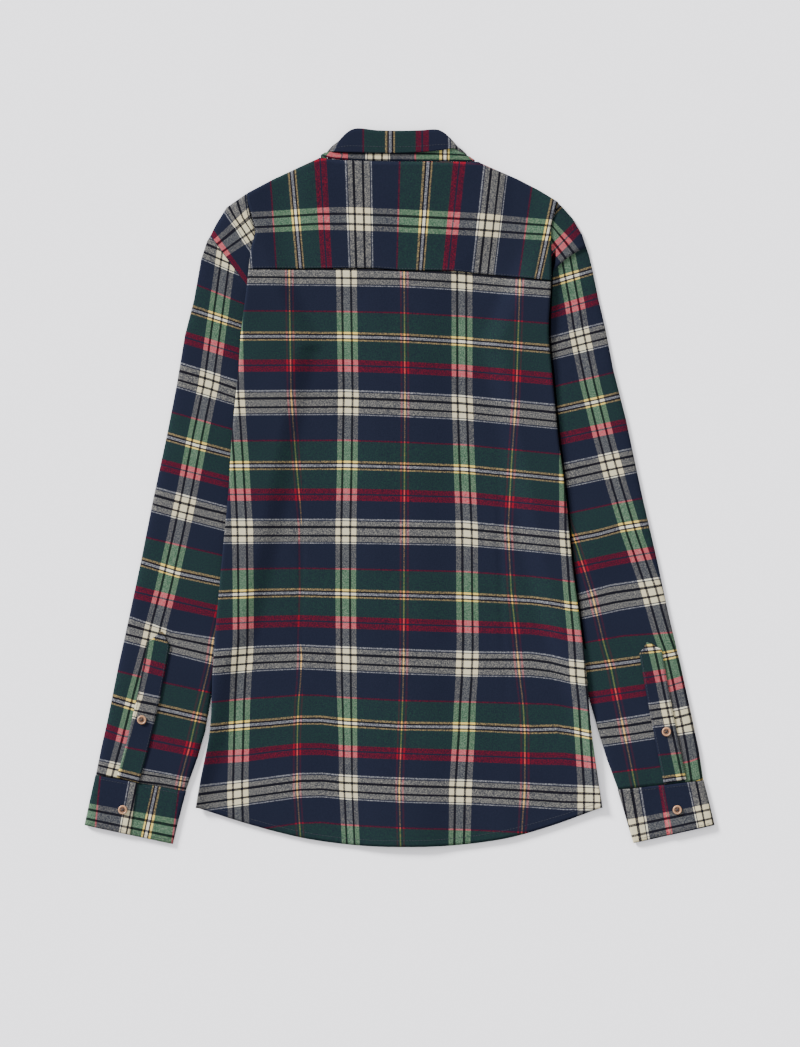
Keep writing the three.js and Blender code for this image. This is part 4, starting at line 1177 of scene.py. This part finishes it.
placket_left = placket_piece(
    "placket_left_cloth", "sleeve_placket_left", LEFT_PLACKET, LEFT_PLACKET_WARP, LEFT_PLACKET_WEFT
)
placket_right = placket_piece(
    "placket_right_cloth", "sleeve_placket_right", RIGHT_PLACKET, RIGHT_PLACKET_WARP, RIGHT_PLACKET_WEFT
)

# Collar
# A stand round the neck and a leaf folded over it, buttoned at the front. Each row of the table is a
# station: the turn from the back in degrees, the seam, the fold, the leaf's edge and a lift.
COLLAR = [
    (180, 14, 276.2, 10, 311, 0, 0, 0), (180, -14, 276.4, -7, 312, -50, 247, 0),
    (180, -42, 288, -28, 321, -68, 272, 0), (172, -68, 313, -52, 338, -80, 312, 0),
    (150, -82, 335, -72, 357, -77, 346, 0), (100, -87.3, 364.6, -75.5, 371.5, -79.5, 367.5, 0),
    (45, -83, 364.6, -67.3, 381, -74, 369.3, 0), (10, -72, 361.9, -51, 395, -58, 369, 0),
    (0, -40, 360.1, -25, 393.5, -28, 368.6, 0), (0, 0, 359.6, 0, 393, 0, 368.5, 0),
    (0, 35, 359.5, 22, 393.5, 25, 369.5, 0), (10, 62, 359.4, 42, 394, 46, 371.5, 0),
    (35, 76, 359.4, 54.5, 385, 58.5, 373, 0), (60, 80, 359.8, 62, 375.5, 66.5, 368.5, 0),
    (100, 82.5, 359, 69.5, 367.5, 73, 364.5, 0), (150, 79, 333, 67, 353, 73, 343, 0),
    (172, 68, 313, 52, 338, 80, 312, 0), (180, 42, 288, 28, 321, 68, 272, 0),
    (180, 17, 276.6, 11, 312, 50, 247, 0), (180, 12, 276.2, 8, 312, 0, 0, 1.5),
    (180, -14, 276.2, -10, 311, 0, 0, 1.5),
]
LEAF_COLLAR = [station for station in COLLAR if station[6] > 0]
STAND_MIDDLE = 4.3
STAND_HALF_DEPTH = 2.1
LEAF_OUT = 1.6
LEAF_ROLL_AT_BACK = 0.3
FOLD_ROUND = 1.5
BELOW_FOLD = 5.2
PER_STATION = 6
STAND_ROWS, LEAF_ROWS = 8, 30
BACK_REACH = 66
LEAF_GROUND = 0.33
STAND_GROUND = 0.11
# Round the leaf's edge: share of the rows, rise past the fold, distance out and share down the leaf
LEAF_PROFILE = [
    (0.0, -0.9, -CLOTH, 0), (0.08, -0.3, -CLOTH + FOLD_ROUND * 0.3, 0), (0.16, 0, -CLOTH + FOLD_ROUND, 0),
    (0.24, -0.3, LEAF_OUT - FOLD_ROUND * 0.3, 0), (0.34, 0, LEAF_OUT, 0.12), (0.66, 0, LEAF_OUT, 0.55),
    (1.0, 0, LEAF_OUT, 1),
]
LEAF_WEFT = [
    (-112, -0.435), (-70, -0.005), (-40.6, 0.196), (-11, 0.391), (24.4, 0.615), (53.5, 0.8085), (58.5, 0.841),
    (114, 1.27),
]
STAND_WEFT = [
    (-110, -0.78), (-64, -0.385), (-11.2, 0.0), (16.5, 0.196), (49.4, 0.391), (81, 0.615), (110, 0.8),
]


def collar_row(table, at):
    keyed = [(k, *station) for k, station in enumerate(table)]
    return [smooth_along(keyed, at, k) if k not in (1, 8) else along(keyed, at, k) for k in range(1, 9)]


def collar_point(row, x, y, out):
    turn, seam_x, seam_at, fold_x, fold_y, _, _, lift = row
    angle = math.radians(turn)
    up = Vector((fold_x - seam_x, fold_y - seam_at, 0)).normalized()
    outwards = Vector((math.copysign(1, seam_x) * math.sin(angle), 0, math.cos(angle)))
    outwards = (outwards - up * outwards.dot(up)).normalized()
    z = STAND_MIDDLE + STAND_HALF_DEPTH * math.cos(angle) + lift
    return Vector((x, y, z)) + outwards * out


def beyond_back(x, table, at):
    """How far round the neck, past the stretch across the back, a station lies."""
    stations = [collar_row(table, k) for k in range(len(table))]
    runs = [0]
    for a, b in zip(stations, stations[1:]):
        runs.append(runs[-1] + math.hypot(a[3] - b[3], a[4] - b[4]))
    middle = next(k for k, station in enumerate(table) if station[0] == 0 and station[1] == 0)
    run = along(list(enumerate(runs)), at) - runs[middle]
    return math.copysign(max(0, abs(run) - BACK_REACH), run)


def stand_shape(column, row):
    at = column / PER_STATION
    station = collar_row(COLLAR, at)
    before, after = collar_row(COLLAR, max(0, at - 1)), collar_row(COLLAR, min(len(COLLAR) - 1, at + 1))
    fold_line = Vector((after[3] - before[3], after[4] - before[4])).normalized()
    rise = Vector((station[3] - station[1], station[4] - station[2]))
    slant = max(0.4, abs(rise.x * fold_line.y - rise.y * fold_line.x) / rise.length)
    up = row / STAND_ROWS * (1 - BELOW_FOLD / slant / rise.length)
    point = collar_point(station, station[1] + up * rise.x, station[2] + up * rise.y, 0)
    return *point, max(-BACK_REACH, min(BACK_REACH, point.x)), up * rise.length, beyond_back(point.x, COLLAR, at)


def stand_pattern(x, rise, onward, zone):
    return STAND_GROUND - rise / WARP_REPEAT, along(STAND_WEFT, x) + onward / WEFT_REPEAT


def leaf_shape(column, row):
    at = column / PER_STATION
    station = collar_row(LEAF_COLLAR, at)
    to_fold, out, to_leaf = (along(LEAF_PROFILE, row / LEAF_ROWS, k) for k in (1, 2, 3))
    up = Vector((station[3] - station[1], station[4] - station[2])).normalized()
    at_back = (1 + math.cos(math.radians(station[0]))) / 2
    x = station[3] + to_fold * FOLD_ROUND * up.x + to_leaf * (station[5] - station[3])
    y = station[4] + to_fold * FOLD_ROUND * up.y + to_leaf * (station[6] - station[4])
    point = collar_point(station, x, y, out + (at_back * LEAF_ROLL_AT_BACK if out > 0 else 0))
    down = to_leaf * math.hypot(station[5] - station[3], station[6] - station[4])
    return *point, max(-BACK_REACH, min(BACK_REACH, point.x)), down, beyond_back(point.x, LEAF_COLLAR, at)


def leaf_pattern(x, down, onward, zone):
    return LEAF_GROUND - down / WARP_REPEAT, along(LEAF_WEFT, x) + onward / WEFT_REPEAT


stand = cloth_grid("collar_stand_cloth", (len(COLLAR) - 1) * PER_STATION, STAND_ROWS, stand_shape, stand_pattern)
leaf = cloth_grid(
    "collar_leaf_cloth", (len(LEAF_COLLAR) - 1) * PER_STATION, LEAF_ROWS, leaf_shape, leaf_pattern, turned=True
)
place_piece(stand, "collar_stand")
place_piece(leaf, "collar_leaf")

# Buttons
# Turned wood-look buttons, 10 mm wide and 1.9 mm thick: a round tan rim about a thinner, darker middle
# with four holes, sewn down with a cross of dark thread.
BUTTON_RIM = (0.30, 0.155, 0.08)
BUTTON_MIDDLE = (0.13, 0.06, 0.032)
THREAD = (0.006, 0.006, 0.009)
BUTTON_HEIGHT = 1.9
MIDDLE_HEIGHT = 1.1
RIM_WIDTH = 1.9
HOLE_RADIUS = 0.55
HOLE_DISTANCE = 1.6
THREAD_WIDTH = 1.0
button_rim = plain_material("button_rim", BUTTON_RIM, 0.4)
button_middle = plain_material("button_middle", BUTTON_MIDDLE, 0.5)
thread = plain_material("thread", THREAD, 0.85)


def speckle(material, colour, scale, reach):
    """Gives a plain material a fine variation of tone."""
    nodes = material.node_tree.nodes
    links = material.node_tree.links
    place = nodes.new("ShaderNodeTexCoord").outputs["Object"]
    tone = math_node(nodes, links, "MULTIPLY_ADD", noise_node(nodes, links, place, scale), 2 * reach, 1 - reach)
    toned = nodes.new("ShaderNodeVectorMath")
    toned.operation = "SCALE"
    toned.inputs[0].default_value = colour
    links.new(tone, toned.inputs["Scale"])
    links.new(toned.outputs[0], nodes["Principled BSDF"].inputs["Base Color"])


speckle(button_rim, BUTTON_RIM, 420, 0.35)
speckle(button_middle, BUTTON_MIDDLE, 420, 0.3)
speckle(thread, THREAD, 900, 0.4)


def add_bar(tool, start, end, width):
    """A short round bar of thread between two points."""
    run = end - start
    place = Matrix.Translation((start + end) / 2 * MM) @ run.to_track_quat("Z", "Y").to_matrix().to_4x4()
    bmesh.ops.create_cone(
        tool, cap_ends=True, segments=6, radius1=width / 2 * MM, radius2=width / 2 * MM,
        depth=run.length * MM, matrix=place,
    )


def button_piece(name, node, x, y, z, radius):
    tool = bmesh.new()
    bmesh.ops.create_circle(tool, segments=28, radius=radius - RIM_WIDTH / 2)
    for hole in range(4):
        angle = math.radians(45 + 90 * hole)
        at = Vector((math.cos(angle), math.sin(angle), 0)) * HOLE_DISTANCE
        bmesh.ops.create_circle(tool, segments=10, radius=HOLE_RADIUS, matrix=Matrix.Translation(at))
    filled = bmesh.ops.triangle_fill(tool, use_beauty=True, edges=tool.edges[:])
    faces = [part for part in filled["geom"] if isinstance(part, bmesh.types.BMFace)]
    risen = bmesh.ops.extrude_face_region(tool, geom=faces)
    top = [part for part in risen["geom"] if isinstance(part, bmesh.types.BMVert)]
    bmesh.ops.translate(tool, verts=top, vec=(0, 0, MIDDLE_HEIGHT))
    bmesh.ops.translate(tool, verts=tool.verts, vec=(0, 0, (BUTTON_HEIGHT - MIDDLE_HEIGHT) / 2 - 0.2))
    bmesh.ops.recalc_face_normals(tool, faces=tool.faces)
    middle_faces = set(tool.faces)
    ring = bmesh.ops.create_grid(tool, x_segments=32, y_segments=10, size=0.5)["verts"]
    for v in ring:
        round_, section = (v.co.x + 0.5) * 2 * math.pi, (v.co.y + 0.5) * 2 * math.pi
        out = radius - RIM_WIDTH / 2 + RIM_WIDTH / 2 * math.cos(section)
        v.co = (out * math.cos(round_), out * math.sin(round_), BUTTON_HEIGHT / 2 * (1 + math.sin(section)))
    bmesh.ops.remove_doubles(tool, verts=ring, dist=1e-4)
    for face in tool.faces:
        face.material_index = 1 if face in middle_faces else 0
    bmesh.ops.transform(tool, matrix=Matrix.Translation(Vector((x, y, z)) * MM) @ Matrix.Scale(MM, 4), verts=tool.verts)
    piece = finish_mesh(name, tool, [button_rim, button_middle])
    place_piece(piece, node)


ON_PLACKET = PLACKET_TOP + SEAM
ON_CUFF = 5.5
BUTTONS = [(f"front_button_{index + 1}", 0, 222 - 90 * index, 0, 5.2) for index in range(6)] + [
    ("collar_button", 0, 292, 0, 5.2),
    ("placket_button_left", -284, -255, ON_PLACKET, 5), ("placket_button_right", 293, -268, ON_PLACKET, 5),
    ("cuff_button_left", -305, -354, ON_CUFF, 5), ("cuff_button_right", 305, -354, ON_CUFF, 5),
]
crosses = bmesh.new()
for node, x, y, z, radius in BUTTONS:
    button_piece(f"{node}_wood", node, x, y, z, radius)
    facing_down = z == 0
    cross_z = 0.5 if facing_down else z + MIDDLE_HEIGHT + 0.35
    for turn in (45, 135):
        reach = Vector((math.cos(math.radians(turn)), math.sin(math.radians(turn)), 0)) * (HOLE_DISTANCE + 0.7)
        add_bar(crosses, Vector((x, y, cross_z)) - reach, Vector((x, y, cross_z)) + reach, THREAD_WIDTH)
cross_threads = finish_mesh("button_threads", crosses, [thread])
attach(cross_threads, "root")

# Topstitching
# Rows of short navy stitches, 3.2 mm apart, half sunk in the cloth: along the hem, under the yoke seam,
# round the cuffs and plackets and along the collar leaf's edge.
STITCH_PITCH = 3.2
STITCH_LENGTH = 2.5
STITCH_WIDTH = 0.45
HEM_STITCH = 7
EDGE_STITCH = 1.8
stitch_thread = plain_material("stitch_thread", (0.008, 0.01, 0.019), 0.85)
speckle(stitch_thread, (0.008, 0.01, 0.019), 900, 0.4)
stitches = bmesh.new()


def stitch_row(points):
    """Stitches at even distances along a line of points."""
    points = [Vector(point) for point in points]
    runs = [0]
    for a, b in zip(points, points[1:]):
        runs.append(runs[-1] + (b - a).length)

    def at(run):
        last = bracket(runs, run)
        low, high = points[last - 1], points[last]
        return low + (high - low) * (run - runs[last - 1]) / (runs[last] - runs[last - 1])

    count = int(runs[-1] / STITCH_PITCH)
    for stitch in range(count):
        start = (stitch + 0.1) * runs[-1] / count
        add_bar(stitches, at(start), at(start + STITCH_LENGTH), STITCH_WIDTH)


def on_back(x, y):
    return x, y, back_top(x, y) + back_relief(x, y)


stitch_row([on_back(x, hem_y(x) + HEM_STITCH) for x in range(-216, 217, 4)])
stitch_row([
    (x, seam_y(x) + EDGE_STITCH, back_top(x, seam_y(x)) + 0.82 * YOKE_LIP) for x in range(-162, 165, 3)
])
for table, splits in ((LEFT_CUFF, LEFT_FLAP_SPLIT), (RIGHT_CUFF, RIGHT_FLAP_SPLIT)):
    def on_cuff(across, at):
        over_flap = across > splits[0] + at / 2 * (splits[1] - splits[0])
        x, y, z = tube_point(table, across, at, True, FLAP_STEP if over_flap else 0)[:3]
        return x, y, z

    for first, end in ((0.06, 0.44), (0.56, 0.94)):
        shares = [first + k / 20 * (end - first) for k in range(21)]
        for at in (0.12, 1.88):
            stitch_row([on_cuff(across, at) for across in shares])
for table in (LEFT_PLACKET, RIGHT_PLACKET):
    for turn in (-1, 1):
        across = Vector((table[-1][1] - table[1][1], table[1][0] - table[-1][0])).normalized()
        reach = turn * (table[1][2] / 2 - EDGE_STITCH)
        edge = [(x + across.x * reach, y + across.y * reach, PLACKET_TOP) for x, y, _ in table[1:]]
        stitch_row([(table[0][0], table[0][1] - 2 * EDGE_STITCH, PLACKET_TOP), *edge])
LEAF_STITCH_ROW = LEAF_ROWS - 6
stitch_row([
    leaf_shape(column, LEAF_STITCH_ROW)[:3]
    for column in range(PER_STATION, (len(LEAF_COLLAR) - 2) * PER_STATION)
])
stitching = finish_mesh("topstitching", stitches, [stitch_thread])
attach(stitching, "root")

[[list(corner) for corner in box] for box in (cad_box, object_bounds())]
